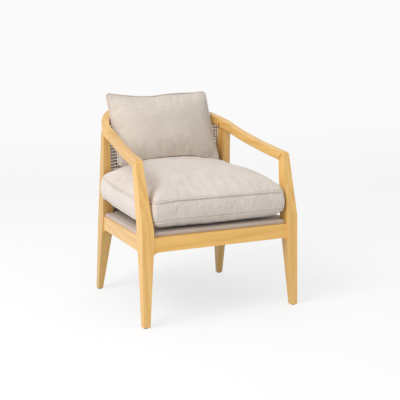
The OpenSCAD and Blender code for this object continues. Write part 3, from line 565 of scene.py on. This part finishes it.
def unevenFill(piece, amount, seed):
    # the filling lies a little unevenly; all normals are read before any point moves
    normals = [vertex.normal.copy() for vertex in piece.data.vertices]
    for vertex, normal in zip(piece.data.vertices, normals):
        co = vertex.co
        lump = noise.noise(Vector((co.x * 8 + seed, co.y * 8, co.z * 8)))
        lump += 0.5 * noise.noise(Vector((co.x * 19, co.y * 19 + seed, co.z * 19)))
        vertex.co = co + normal * lump * amount


def cord(name, path, radius, sides=10):
    # a closed round cord
    form = bmesh.new()
    rings = []
    for i, point in enumerate(path):
        along = (path[(i + 1) % len(path)] - path[i - 1]).normalized()
        out = along.cross(Vector((0, 0, 1)))
        out = out.normalized() if out.length > 1e-4 else Vector((1, 0, 0))
        up = out.cross(along).normalized()
        thick = radius * (1 + 0.05 * math.sin(i * 0.9))
        ring = []
        for k in range(sides):
            angle = 2 * math.pi * k / sides
            ring.append(form.verts.new(point + (out * math.cos(angle) + up * math.sin(angle)) * thick))
        rings.append(ring)
    joinRings(form, rings + rings[:1])
    faceOut(form)
    mesh = meshFrom(form, name)
    mesh.shade_smooth()
    return mesh


# Seat cushion: a boxed cushion, crowned above its upper piping and full below the lower one
seatLook = {
    "voxel": 0.006,
    "pressure": 4.0,
    "spare": 0.012,        # extra cloth, as a share
    "cap": 0.006,          # furthest that a point may rise
    "sideCap": 0.003,      # furthest that it may move sideways
    "tilt": 4.0,           # degrees that the cushion rises to the back
    "boxing": 0.070,       # from the lower seam to the upper one
    "swell": 0.0065,       # how far the boxing stands out between its seams
    "inset": 0.0012,       # from the CAD's outline to the sewn form's
    "crown": 0.069,
    "belly": 0.066,
    "cell": 0.0062,        # spacing of the sewn form's points
    "pinned": 0.006,       # how near a seam the cloth stays in its place
    "pipe": 0.0031,
    "pipeCell": 0.003,
    "seamDepth": 0.0036,
    "seamReach": 0.005,
    "pucker": 0.0011,
    "lumps": 0.0016,
    "sunk": 0.008,         # how far the left side has sunk
    "sunkFrom": (-0.17, -0.02),     # left of this x, in front of this y
    "sunkFade": 0.12,
    "corner": 0.008,       # how far the back corners stand out
    "cornerFrom": (0.235, 0.112),   # outside this x, on either side of this y
    "cornerFade": (0.06, 0.035),
}
seatLow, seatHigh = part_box("seat_cushion_cover")
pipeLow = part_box("seat_cushion_piping")[0]
rounds = 1080              # rays all the way round
seatTilt = math.tan(math.radians(seatLook["tilt"]))
seatCentre = Vector((0, (seatLow[1] + seatHigh[1]) / 2, 0))
seamFront = pipeLow[1] + seatLook["pipe"]
seamHeight = pipeLow[2] + seatLook["pipe"]


def seamZ(y, upper):
    return seamHeight + (y - seamFront) * seatTilt + (seatLook["boxing"] if upper else 0)


def reachAt(surface, upper):
    # how far the cushion reaches from its middle at a seam's height, all the way round
    reach = [0.3]
    for i in range(rounds):
        angle = 2 * math.pi * i / rounds
        way = Vector((math.cos(angle), math.sin(angle), math.sin(angle) * seatTilt))
        start = Vector((0, seatCentre.y, seamZ(seatCentre.y, upper))) + way * 0.6
        hit = surface.ray_cast(start, -way.normalized())[0]
        reach.append(math.hypot(hit.x, hit.y - seatCentre.y) if hit else reach[-1])
    return reach[1:]


def outlineAt(surface, upper):
    points = []
    for i, reach in enumerate(reachAt(surface, upper)):
        angle = 2 * math.pi * i / rounds
        y = seatCentre.y + math.sin(angle) * reach
        points.append(Vector((math.cos(angle) * reach, y, seamZ(y, upper))))
    return points


def ease(value):
    value = max(0, min(1, value))
    return value * value * (3 - 2 * value)


def squareUp(piece, wanted):
    # brings the sides back out to the sewn outline, so that the corners stay crisp
    surface = surfaceOf(piece)
    now = [reachAt(surface, upper) for upper in (False, True)]
    shift = []
    mostIn, mostOut, core, inner = -0.008, 0.012, 0.15, 0.84
    for a, b in zip(wanted, now):
        gap = [max(mostIn, min(mostOut, x - y)) for x, y in zip(a, b)]
        for _ in range(2):
            gap = [(gap[i - 1] + 2 * gap[i] + gap[(i + 1) % rounds]) / 4 for i in range(rounds)]
        shift.append(gap)
    for vertex in piece.data.vertices:
        co = vertex.co
        off = Vector((co.x, co.y - seatCentre.y, 0))
        if off.length < core:
            continue
        at = math.atan2(off.y, off.x) / (2 * math.pi) * rounds % rounds
        i, share = int(at) % rounds, at % 1
        k = (i + 1) % rounds
        part = max(0, min(1, (co.z - seamZ(co.y, False)) / seatLook["boxing"]))
        move = 0
        edge = 0
        for level, weight in ((0, 1 - part), (1, part)):
            move += weight * (shift[level][i] * (1 - share) + shift[level][k] * share)
            edge += weight * (now[level][i] * (1 - share) + now[level][k] * share)
        vertex.co = co + off.normalized() * move * ease((off.length / edge - inner) / (1 - inner))


def seatForm():
    plan = evenLoop(outlineAt(surfaceOf(nodes["seat_cushion_cover"]), False), seatLook["cell"])
    rings = []
    for share in (0.06, 0.2, 0.34, 0.48, 0.6, 0.7, 0.79, 0.86, 0.92, 0.96, 0.985):
        rings.append((share, lambda p, s=share: -bellyDrop(p, s), 0))
    for k in range(13):
        part = k / 12
        swell = seatLook["swell"] * math.sin(math.pi * part) ** 0.7 if 0 < k < 12 else 0
        rings.append((1, lambda p, t=part: seatLook["boxing"] * t, swell))
    for share in (0.988, 0.97, 0.945, 0.91, 0.87, 0.82, 0.76, 0.68, 0.58, 0.46, 0.33, 0.2, 0.06):
        rise = seatLook["boxing"] + seatLook["crown"] * (1 - share ** 3) ** 0.6
        rings.append((share, lambda p, rise=rise: rise, 0))
    form = bmesh.new()
    grid = []
    for share, rise, swell in rings:
        row = []
        for p in plan:
            off = Vector((p.x, p.y - seatCentre.y, 0))
            off = off * share + off.normalized() * (swell - seatLook["inset"])
            y = seatCentre.y + off.y
            z = max(seamZ(y, False) + rise(off), seatLow[2] + 0.0004)
            row.append(form.verts.new((off.x, y, z)))
        grid.append(row)
    joinRings(form, grid)
    form.faces.new(grid[0])
    form.faces.new(grid[-1])
    faceOut(form)
    return meshFrom(form, "seatCushion")


def bellyDrop(off, share):
    # fuller at the front than at the sides
    ahead = max(0, -off.y / max(1e-6, off.length))
    full = 0.85 - 0.25 * ahead ** 3
    return seatLook["belly"] * (1 - share ** 2.8) ** full


def seatInward(co):
    way = Vector((-co.x, seatCentre.y - co.y, 0))
    return way.normalized() if way.length > 1e-6 else way


def settled(co):
    # the left side has sunk a little, and the back corners stand out in front of the legs
    part = max(0, min(1, (co.z - seamZ(co.y, False)) / seatLook["boxing"]))
    x, y = seatLook["sunkFrom"]
    sunk = ease((x - co.x) / seatLook["sunkFade"]) * (1 - ease((co.y - y) / seatLook["sunkFade"]))
    (x, y), (wide, deep) = seatLook["cornerFrom"], seatLook["cornerFade"]
    corner = math.exp(-((co.y - y) / deep) ** 2) * ease((abs(co.x) - x) / wide)
    x = co.x + math.copysign(seatLook["corner"] * corner, co.x)
    z = co.z - seatLook["sunk"] * sunk + seatLook["corner"] * corner * part
    return Vector((x, co.y, z))


def makeSeatCushion():
    piece = addObject("seatCushion", seatForm())
    remesh(piece, seatLook["voxel"], 2)
    rims = nearLine([p for upper in (False, True) for p in outlineAt(surfaceOf(piece), upper)])

    def pins(_, co):
        return rims.find(co)[2] < seatLook["pinned"] or co.z < seatLow[2] + restHeight

    inflate(piece, pins, seatLook)
    subdivide(piece)
    unevenFill(piece, seatLook["lumps"], 4.2)
    cover = surfaceOf(nodes["seat_cushion_cover"])
    squareUp(piece, [reachAt(cover, upper) for upper in (False, True)])
    surface = surfaceOf(piece)
    seams = [softenLoop(evenLoop(outlineAt(surface, upper), seatLook["pipeCell"]), 9)
             for upper in (False, True)]
    for k, seam in enumerate(seams):
        drawIn(piece, seam, seatLook, seatInward, k * 7.3)
    seams = [[settled(point) for point in seam] for seam in seams]
    for vertex in piece.data.vertices:
        vertex.co = settled(vertex.co)
        vertex.co.z = max(vertex.co.z, seatLow[2] + 0.0002)
    coverInLinen(piece, "seat_cushion", "linen")
    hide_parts("seat_cushion_cover", "seat_cushion_core")
    for name, seam in zip(("seatPipingLow", "seatPipingHigh"), seams):
        mesh = cord(name, seam, seatLook["pipe"])
        meshPiece(name, mesh, "seat_cushion", pipingLinen, "seat_cushion_piping")
    return piece


pipingLinen = makeLinen("linen piping", "top", srgb(252, 250, 248))
seatCushion = makeSeatCushion()
seatSurface = surfaceOf(seatCushion)
print("chair: seat cushion made")


# Back cushion: a pillow with piped edges, leaning on the back rail and a little askew
backLook = {
    "pressure": 4.5,
    "spare": 0.015,
    "cap": 0.011,
    "sideCap": 0.009,
    "lean": 19.5,          # degrees
    "halfHigh": 0.1459,    # half the height from seam to seam
    "thick": 0.122,
    "columns": 62,
    "rows": 42,
    "aside": -0.0075,      # to the left of the middle
    "skew": -0.006,        # further left at the top than in the middle
    "draw": 0.0045,        # how far the sides are drawn in between the corners
    "dip": 0.012,          # how far the top edge has sunk, where, and how widely to the left and right
    "dipAt": -0.2,
    "dipWide": (0.55, 0.36),
    "ear": 0.008,          # how far the corners stand up
    "overSeat": 0.0075,    # from the seam to the seat cushion
    "clear": 0.0015,       # from the cloth to the wood and the cane
    "pipe": 0.0031,
    "pipeCell": 0.003,
    "pipeOut": 0.0012,     # from the seam to the middle of its piping
    # the tint darkens the back linen a little and warms it: painted shade and painted warm bounce light
    "tint": srgb(248, 247, 243),
    "seamDepth": 0.0012,
    "seamReach": 0.0045,
    "pucker": 0.0016,
    "lumps": 0.0022,
}
backLean = math.radians(backLook["lean"])
backUp = Vector((0, math.sin(backLean), math.cos(backLean)))
backOut = Vector((0, -math.cos(backLean), math.sin(backLean)))


def backFrame():
    # middle and half width of the seam, from the piping's own node
    points = [v.co for v in nodes["back_cushion_piping"].data.vertices]
    wide = max(p.x for p in points) - backLook["pipe"]
    top = max(p.dot(backUp) for p in points) - backLook["pipe"]
    depth = [p.dot(backOut) for p in points if p.dot(backUp) > top - 0.15]
    plane = (min(depth) + max(depth)) / 2
    return backUp * (top - backLook["halfHigh"]) + backOut * plane, wide


def seatTop(x, y):
    hit = seatSurface.ray_cast(Vector((x, y, 0.9)), Vector((0, 0, -1)))[0]
    return hit.z if hit else 0


def onSeat(co, gap):
    co.z = max(co.z, seatTop(co.x, co.y) + gap)
    return co


def withinBarrel(co, surfaces, gap):
    # keeps a point on the inner side of the back rail, the cane and the rear legs
    axis = Vector((0, barrelCentre.y, co.z))
    way = co - axis
    if way.y <= 0:
        return co
    reach = way.length
    way.normalize()
    for surface in surfaces:
        hit = surface.ray_cast(axis, way, reach + gap)[0]
        if hit:
            reach = min(reach, (hit - axis).length - gap)
    return axis + way * reach


def makeBackCushion():
    middle, wide = backFrame()
    high, columns, rows = (backLook[k] for k in ("halfHigh", "columns", "rows"))

    def edgeDip(a):
        off = a - backLook["dipAt"]
        reach = backLook["dipWide"][off >= 0]
        return backLook["dip"] * math.exp(-(off / reach) ** 2) - backLook["ear"] * abs(a) ** 6

    def spot(a, b, off):
        x = a * (wide - backLook["draw"] * (1 - b * b)) + backLook["aside"] + backLook["skew"] * b
        up = b * high - edgeDip(a) * max(0, b) ** 2
        return middle + Vector((x, 0, 0)) + backUp * up + backOut * off

    def fullness(a, b):
        return ((1 - abs(a) ** 2.2) * (1 - abs(b) ** 2.2)) ** 0.62 * backLook["thick"] / 2

    form = bmesh.new()
    rim = {}
    for side in (1, -1):
        sheet = []
        for j in range(rows + 1):
            line = []
            for i in range(columns + 1):
                a, b = 2 * i / columns - 1, 2 * j / rows - 1
                if i in (0, columns) or j in (0, rows):
                    if (i, j) not in rim:
                        rim[(i, j)] = form.verts.new(spot(a, b, 0))
                    line.append(rim[(i, j)])
                else:
                    line.append(form.verts.new(spot(a, b, side * fullness(a, b))))
            sheet.append(line)
        for j in range(rows):
            for i in range(columns):
                form.faces.new((sheet[j][i], sheet[j][i + 1], sheet[j + 1][i + 1], sheet[j + 1][i]))
    rimKeys = [(i, 0) for i in range(columns)] + [(columns, j) for j in range(rows)]
    rimKeys += [(i, rows) for i in range(columns, 0, -1)] + [(0, j) for j in range(rows, 0, -1)]
    loop = softenLoop([rim[key].co.copy() for key in rimKeys], 5)
    for key, co in zip(rimKeys, loop):
        rim[key].co = onSeat(co, backLook["overSeat"])
    for vertex in form.verts:
        onSeat(vertex.co, 0.001)
    faceOut(form)
    form.verts.index_update()
    fixed = {vertex.index for vertex in rim.values()}
    sewn = form.edges.layers.float.new("crease_edge")
    for a, b in zip(rimKeys, rimKeys[1:] + rimKeys[:1]):
        form.edges.get((rim[a], rim[b]))[sewn] = 1.0
    piece = addObject("backCushion", meshFrom(form, "backCushion"))

    def pins(i, co):
        return i in fixed or co.z < seatTop(co.x, co.y) + restHeight

    def inward(co):
        way = middle - co
        way -= backOut * way.dot(backOut)
        return way.normalized() if way.length > 1e-6 else way

    inflate(piece, pins, backLook)
    subdivide(piece)
    unevenFill(piece, backLook["lumps"], 1.3)
    seam = []
    for co in evenLoop(loop, backLook["pipeCell"]):
        seam.append(onSeat(co - inward(co) * backLook["pipeOut"], backLook["pipe"] + 0.0004))
    seam = softenLoop(seam, 3)
    drawIn(piece, seam, backLook, inward, 3.1)
    behind = ("back_rail", "cane_webbing", "rear_leg_left", "rear_leg_right", "cane_stile_left",
              "cane_stile_right")
    around = [surfaceOf(nodes[node]) for node in behind]
    for vertex in piece.data.vertices:
        vertex.co = withinBarrel(onSeat(vertex.co, 0.0005), around, backLook["clear"])
    coverInLinen(piece, "back_cushion", "back linen", backLook["tint"])
    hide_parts("back_cushion_cover", "back_cushion_core")
    mesh = cord("backPiping", seam, backLook["pipe"])
    meshPiece("backPiping", mesh, "back_cushion", pipingLinen, "back_cushion_piping")


makeBackCushion()
print("chair: back cushion made")


# Seat deck: platform cloth over a thin pad, rolled over the board's edges
# the tint darkens the deck cloth: painted shade, for the shade under the seat cushion's overhang
deckLook = {"roll": 0.007, "voxel": 0.004, "sag": 0.0016, "tint": srgb(225, 216, 208)}


def makeDeck():
    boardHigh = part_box("deck_board")[1]
    deckLow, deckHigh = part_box("deck_cover")
    topZ = boardHigh[2] - 1e-4
    form = cleanForm("deck_board", wanted=lambda f: f.normal.z > 0.9 and f.calc_center_median().z > topZ)
    grow = deckHigh[0] - boardHigh[0]
    for vertex in form.verts:
        vertex.co.z = deckLow[2] + 0.0006
    lifted = bmesh.ops.extrude_face_region(form, geom=list(form.faces))
    for item in lifted["geom"]:
        if isinstance(item, bmesh.types.BMVert):
            item.co.z = deckHigh[2]
    faceOut(form)
    for vertex in form.verts:
        way = Vector((vertex.co.x, vertex.co.y - barrelCentre.y, 0)).normalized()
        vertex.co += way * grow
    rim = [e for e in form.edges if all(v.co.z > deckHigh[2] - 1e-5 for v in e.verts)]
    bmesh.ops.bevel(form, geom=rim, offset=deckLook["roll"], segments=4, profile=0.5, affect="EDGES")
    piece = addObject("seatDeck", meshFrom(form, "seatDeck"))
    remesh(piece, deckLook["voxel"], 3)
    for vertex in piece.data.vertices:
        co = vertex.co
        if co.z > deckHigh[2] - 0.004:
            ripple = noise.noise(Vector((co.x * 9, co.y * 9, 1.7)))
            vertex.co.z -= deckLook["sag"] * (0.5 + 0.5 * ripple)
    coverInLinen(piece, "frame", "deck cloth", deckLook["tint"])
    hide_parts("deck_cover", "deck_pad")


makeDeck()
print("chair: deck covered")


# Woven cane: pairs of uprights and levels, and single strands on both slants, in open eight-sided mesh
caneLook = {
    "pitch": 0.0127,       # half an inch from hole to hole
    "pairHalf": 0.0021,    # half the distance between the two strands of a pair
    "strand": 0.0029,      # widths of the strands of a pair, and of the slanted ones
    "slant": 0.0025,
    "thick": 0.0006,
    "halfWide": 0.44,      # half the length round the curve, before it is cut to the opening
    "upStep": 0.003,       # spacing of the points along a strand
    "roundStep": 0.005,
    "tuck": 0.005,         # how far the ends reach into their grooves
    "legMiddle": 0.024,    # from the rail's side to the middle of the leg
    "over": 0.0003,        # how far the strands rise and fall where they cross
    "layer": 0.00045,      # from the middle of the panel to its front and back layers
    "tones": ((0.25, srgb(160, 116, 58)), (0.5, srgb(196, 150, 84)), (0.75, srgb(220, 180, 118))),
}


def makeCaneStrand():
    tree = Tree("cane strand")
    place = tree.place()
    long = tree.noise(place, 60, 3, 0.6)
    own = tree.add("ShaderNodeNewGeometry").outputs["Random Per Island"]
    long = tree.math("MULTIPLY_ADD", own, 0.3, tree.math("MULTIPLY_ADD", long, 0.5, 0.1))
    fine = tree.noise(place, 900, 2, 0.5)
    colour = tree.ramp(long, caneLook["tones"])
    rough = tree.math("MULTIPLY_ADD", fine, 0.2, 0.45)
    return tree.finish(colour, fine, 0.0001, 0.3, rough, Specular_IOR_Level=0.1)


def makeCane():
    low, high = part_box("cane_webbing")
    radius = high[1] - barrelCentre.y - 0.0008
    rail = surfaceOf(nodes["back_rail"])
    leg = surfaceOf(nodes["rear_leg_right"])
    bottom = low[2] + 0.002
    verts = []
    faces = []

    def spot(along, z, off):
        angle = math.pi / 2 - along / radius
        reach = radius + off
        return Vector((reach * math.cos(angle), barrelCentre.y + reach * math.sin(angle), z))

    @cache
    def topAt(along):
        # a little way into the groove under the back rail
        hit = rail.ray_cast(spot(along, bottom, -0.006), Vector((0, 0, 1)))[0]
        return hit.z + caneLook["tuck"] if hit else 0

    @cache
    def sideAt(z):
        # into the groove of the stile, behind the rear leg
        start = Vector((railHigh[0] - caneLook["legMiddle"], railHigh[1], z))
        hit = leg.ray_cast(start, Vector((0, -1, 0)))[0]
        back = (hit.y if hit else 0.13) + caneLook["tuck"]
        return radius * (math.pi / 2 - math.asin((back - barrelCentre.y) / radius))

    def inside(along, z):
        return bottom <= z <= topAt(round(along, 3)) and abs(along) <= sideAt(round(z, 3))

    def ribbon(points, width, way):
        # points are along the curve, up, and off the sheet; way is the step across the strand
        first = len(verts)
        last = first + 4 * (len(points) - 1)
        for along, z, off in points:
            for side, rise in ((-1, 0), (0, 0.75), (1, 0), (0, -0.5)):
                step = side * width / 2
                verts.append(spot(along + way[0] * step, z + way[1] * step, off + caneLook["thick"] * rise))
        for base in range(first, last, 4):
            for k in range(4):
                faces.append((base + k, base + (k + 1) % 4, base + 4 + (k + 1) % 4, base + 4 + k))
        faces.append((first + 3, first + 2, first + 1, first))
        faces.append((last, last + 1, last + 2, last + 3))

    def runs(line):
        # the stretches of a line that lie in the opening
        for kept, points in groupby(line, lambda point: inside(point[0], point[1])):
            run = list(points)
            if kept and len(run) > 1:
                yield run

    pitch = caneLook["pitch"]
    wide = caneLook["halfWide"]
    columns = int(wide / pitch)
    rows = int((high[2] - bottom) / pitch) + 1
    sides = (-1, 1)
    for i, side in product(range(-columns, columns + 1), sides):
        along = (i + 0.5) * pitch + side * caneLook["pairHalf"]
        off = caneLook["over"] * side - caneLook["layer"]
        for run in runs((along, bottom + caneLook["upStep"] * k, off) for k in range(rows * 5)):
            ribbon([run[0], run[-1]], caneLook["strand"], (1, 0))
    for j, side in product(range(rows), sides):
        z = bottom + (j + 0.5) * pitch + side * caneLook["pairHalf"]
        count = int(2 * wide / caneLook["roundStep"]) + 1
        for run in runs((-wide + caneLook["roundStep"] * k, z, 0.0002 * side) for k in range(count)):
            ribbon(run, caneLook["strand"], (0, 1))
    for slant, k in product(sides, range(-columns - rows - 2, columns + rows + 3)):
        line = []
        for m in range(4 * rows + 4):
            rise = m * pitch / 4
            along = (k + 0.5) * pitch + slant * rise
            wave = math.cos(2 * math.pi * along / pitch)
            line.append((along, bottom + rise, caneLook["layer"] - slant * caneLook["over"] * wave))
        for run in runs(line):
            ribbon(run, caneLook["slant"], (math.sqrt(0.5), -slant * math.sqrt(0.5)))
    mesh = bpy.data.meshes.new("wovenCane")
    mesh.from_pydata(verts, [], faces)
    mesh.update()
    meshPiece("wovenCane", mesh, "frame", makeCaneStrand(), "cane_webbing")


makeCane()
print("chair: cane woven")


# Plain woods, foam, metal, cloth and plastic: darkest and lightest tone, grain, roughness, relief
plainLook = {
    "beech": ((205, 168, 122), (226, 194, 150), 60, 0.6, 0.0001),
    "plywood": ((196, 164, 118), (220, 190, 146), 40, 0.7, 0.0001),
    "foam": ((226, 219, 198), (240, 234, 216), 300, 0.95, 0.0004),
    "fibre_fill": ((232, 230, 224), (246, 245, 240), 220, 0.95, 0.0004),
    "cane_spline": ((184, 150, 98), (214, 182, 130), 200, 0.5, 0.0001),
    "black_cloth": ((26, 26, 28), (44, 44, 46), 420, 0.95, 0.0002),
    "zip_nylon": ((146, 135, 123), (172, 161, 148), 500, 0.5, 0.0003),
    "glide_plastic": ((84, 76, 66), (104, 95, 84), 180, 0.5, 0.0001),
    "zinc_steel": ((160, 160, 158), (190, 190, 188), 120, 0.35, 0.0001),
}
plainStretch = {"beech": (1, 1, 0.1), "plywood": (0.08, 1, 1)}


def makePlain(name):
    dark, light, scale, rough, bump = plainLook[name]
    tree = Tree(name)
    grain = tree.noise(tree.stretched(tree.place(), plainStretch.get(name, (1, 1, 1))), scale, 4, 0.6)
    colour = tree.ramp(grain, ((0.3, srgb(*dark)), (0.7, srgb(*light))))
    return tree.finish(colour, grain, bump, 0.4, tree.math("MULTIPLY_ADD", grain, 0.15, rough),
                       Metallic=float(name == "zinc_steel"))


plainFinishes = {name: makePlain(name) for name in plainLook}


for part in frame["record"]["subparts"]:
    if part["material_slot"] in plainFinishes:
        materials = nodes[part["node"]].data.materials
        materials.clear()
        materials.append(plainFinishes[part["material_slot"]])
print("chair: small parts finished")


# Black cloth under the seat, drawn flat and stapled to the rails
dustLook = {
    "sag": 0.0016,
    "sagFrom": 0.05,       # how far from the edge most of the sag is reached
    "thick": 0.0005,
    "cells": 26,
    "stapleEvery": 0.038,
    "stapleIn": 0.005,     # from the cloth's edge
    "staple": (0.009, 0.0011, 0.0009),
}


def easedBlock(form, turn, size, width):
    made = bmesh.ops.create_cube(form, size=1, matrix=turn @ Matrix.Diagonal((*size, 1)))
    edges = list(dict.fromkeys(e for v in made["verts"] for e in v.link_edges))
    bmesh.ops.bevel(form, geom=edges, offset=width, segments=2, affect="EDGES")


def makeDustCover():
    low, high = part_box("dust_cover")
    form = cleanForm("dust_cover", wanted=lambda f: f.normal.z < -0.9)
    marks = []
    for edge in form.edges:
        if edge.is_boundary:
            a, b = (v.co.copy() for v in edge.verts)
            count = max(1, round((b - a).length / dustLook["stapleEvery"]))
            marks += [(a.lerp(b, (k + 0.5) / count), b - a) for k in range(count)]
    for axis in (0, 1):
        for k in range(1, dustLook["cells"]):
            at = Vector()
            at[axis] = low[axis] + (high[axis] - low[axis]) * k / dustLook["cells"]
            way = Vector()
            way[axis] = 1
            cutForm(form, at, way)
    area = sum(f.calc_area() for f in form.faces)
    edges = nearLine([v.co for v in form.verts if v.is_boundary])
    for vertex in form.verts:
        gap = edges.find(vertex.co)[2]
        drop = 1 - math.exp(-gap / dustLook["sagFrom"])
        ripple = noise.noise(Vector((vertex.co.x * 14, vertex.co.y * 14, 2.2)))
        vertex.co.z = high[2] - 0.0006 - drop * dustLook["sag"] * (1 + 0.5 * ripple)
    mesh = meshFrom(form, "dustCover")
    mesh.shade_smooth()
    finish = plainFinishes["black_cloth"]
    piece = meshPiece("dustCover", mesh, "frame", finish, "dust_cover")
    solid = piece.modifiers.new("thick", "SOLIDIFY")
    solid.thickness = dustLook["thick"]
    solid.offset = 0
    applyModifiers(piece)
    staples = bmesh.new()
    for at, way in marks:
        way = way.normalized()
        inward = Vector((-at.x, -at.y, 0)).normalized()
        at = at + inward * dustLook["stapleIn"]
        spin = way.to_track_quat("X", "Z").to_matrix().to_4x4()
        turn = Matrix.Translation((at.x, at.y, high[2] - 0.0012)) @ spin
        easedBlock(staples, turn, dustLook["staple"], 0.0003)
    mesh = meshFrom(staples, "dustStaples")
    meshPiece("dustStaples", mesh, "frame", plainFinishes["zinc_steel"])


makeDustCover()
print("chair: dust cover stapled")


# Zip in the rear boxing: a tape, two rows of teeth, and a slider with its pull
zipLook = {
    "tape": 0.009,
    "thick": 0.0008,
    "pitch": 0.0017,
    "stagger": 0.0004,     # from the middle to either row of teeth
    "tooth": (0.0011, 0.001, 0.0021),
    "slider": (0.0075, 0.0026, 0.0065),
    "pull": (0.0042, 0.0012, 0.015),
    "sliderIn": 0.008,     # from the zip's end
}


def makeZip():
    low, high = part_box("seat_cushion_zip")
    middle = (low[2] + high[2]) / 2
    half = high[0] - 0.006
    form = bmesh.new()

    def spot(x, up, off):
        hit = seatSurface.ray_cast(Vector((x, 0.5, middle + up)), Vector((0, -1, 0)))[0]
        way = Vector((x, hit.y - barrelCentre.y, 0)).normalized()
        return hit + way * off

    def block(x, up, off, size, width):
        # turned to lie flat on the curve
        place = spot(x, up, off)
        spin = Matrix.Rotation(-math.atan2(x, place.y - barrelCentre.y), 4, "Z")
        easedBlock(form, Matrix.Translation(place) @ spin, size, width)

    stations = []
    for k in range(65):
        x = half * (2 * k / 64 - 1)
        ends = []
        for up, off in ((-1, 0), (1, 0), (1, 1), (-1, 1)):
            ends.append(form.verts.new(spot(x, up * zipLook["tape"] / 2, off * zipLook["thick"])))
        stations.append(ends)
    joinRings(form, stations)
    form.faces.new(stations[0])
    form.faces.new(stations[-1])
    count = int(2 * half / zipLook["pitch"])
    for k in range(count):
        up = zipLook["stagger"] if k % 2 else -zipLook["stagger"]
        block(half * (2 * (k + 0.5) / count - 1), up, zipLook["thick"] + 0.0003, zipLook["tooth"], 0.0002)
    end = half - zipLook["sliderIn"]
    block(end, 0, 0.0022, zipLook["slider"], 0.0005)
    block(end, -0.0095, 0.0034, zipLook["pull"], 0.0005)
    faceOut(form)
    mesh = meshFrom(form, "seatZip")
    finish = plainFinishes["zip_nylon"]
    meshPiece("seatZip", mesh, "seat_cushion", finish, "seat_cushion_zip")


makeZip()
print("chair: zip made")


# Floor, backdrop and light
stageLook = {
    "turn": 26,            # degrees, in line with the camera
    "near": -6,            # metres from the chair to the floor's ends
    "far": 3,
    "halfWide": 7,
    "bend": 1.5,           # radius where the floor turns up
    "wallTop": 5,
    "floor": 0.9,
    "floorGlow": 0.72,     # share of plain white that the camera sees in the floor
    "wallGlow": 0.86,
    "farGlow": 0.94,       # far off to the sides and behind the camera, where it meets the sky
    "farFrom": 2.5,
    "farTo": 5.5,
    "worldGlow": 0.96,     # what the camera sees of the sky, and what lights the chair
    "worldLight": 0.68,
    "keyPower": 98,
    "keySize": 2.2,
    "keyPlace": (-2.6, -1.1, 3.1),
    "keyAim": (0, 0, 0.4),
}


def seenRays(tree):
    # rays straight from the camera, and those by way of gloss or glass
    rays = tree.add("ShaderNodeLightPath").outputs
    seen = tree.math("MAXIMUM", rays["Is Camera Ray"], rays["Is Glossy Ray"])
    return tree.math("MAXIMUM", seen, rays["Is Transmission Ray"])


def makeFloor():
    tree = Tree("floor")
    tree.nodes.remove(tree.shader)
    plain = tree.add("ShaderNodeBsdfDiffuse", {"Color": (stageLook["floor"],) * 3 + (1,)})
    glow = tree.add("ShaderNodeEmission", {"Color": (0.99, 0.99, 0.99, 1), "Strength": 1.0})
    turn = math.radians(stageLook["turn"])
    across = Vector((math.cos(turn), -math.sin(turn), 0))
    deep = Vector((math.sin(turn), math.cos(turn), 0))
    place = tree.add("ShaderNodeNewGeometry").outputs["Position"]
    side = tree.math("ABSOLUTE", tree.dot(place, across))
    far = tree.math("MAXIMUM", side, tree.dot(place, -deep))
    fade = tree.spread(far, stageLook["farFrom"], stageLook["farTo"], 0, stageLook["farGlow"])
    rise = tree.spread(tree.split(place)[2], 0, 0.5, stageLook["floorGlow"], stageLook["wallGlow"])
    share = tree.math("MULTIPLY", seenRays(tree), tree.math("MAXIMUM", rise, fade))
    both = tree.add("ShaderNodeMixShader", {0: share, 1: plain.outputs[0], 2: glow.outputs[0]})
    tree.links.new(both.outputs[0], tree.nodes["Material Output"].inputs["Surface"])
    form = bmesh.new()
    end, bend, wide = (stageLook[k] for k in ("far", "bend", "halfWide"))
    profile = [(stageLook["near"], 0), (end, 0)]
    for k in range(1, 9):
        angle = math.pi / 2 * k / 8
        profile.append((end + bend * math.sin(angle), bend - bend * math.cos(angle)))
    profile.append((end + bend, stageLook["wallTop"]))
    rows = []
    for y, z in profile:
        rows.append([form.verts.new(deep * y + across * x + Vector((0, 0, z))) for x in (-wide, wide)])
    for a, b in zip(rows, rows[1:]):
        form.faces.new((a[0], a[1], b[1], b[0]))
    mesh = meshFrom(form, "floor")
    mesh.shade_smooth()
    mesh.materials.append(tree.owner)
    addObject("floor", mesh)


def addKeyLight():
    data = bpy.data.lights.new("key", "AREA")
    data.shape = "SQUARE"
    data.size = stageLook["keySize"]
    data.energy = stageLook["keyPower"]
    lamp = addObject("key", data)
    lamp.location = stageLook["keyPlace"]
    way = Vector(stageLook["keyAim"]) - Vector(stageLook["keyPlace"])
    lamp.rotation_euler = way.to_track_quat("-Z", "Y").to_euler()


def makeWorld():
    tree = Tree("studio", bpy.data.worlds)
    back = tree.nodes["Background"].inputs
    back["Color"].default_value = (1, 1, 1, 1)
    strength = tree.spread(seenRays(tree), 0, 1, stageLook["worldLight"], stageLook["worldGlow"])
    tree.links.new(strength, back["Strength"])
    scene.world = tree.owner


makeFloor()
makeWorld()
addKeyLight()
print("chair: stage set")
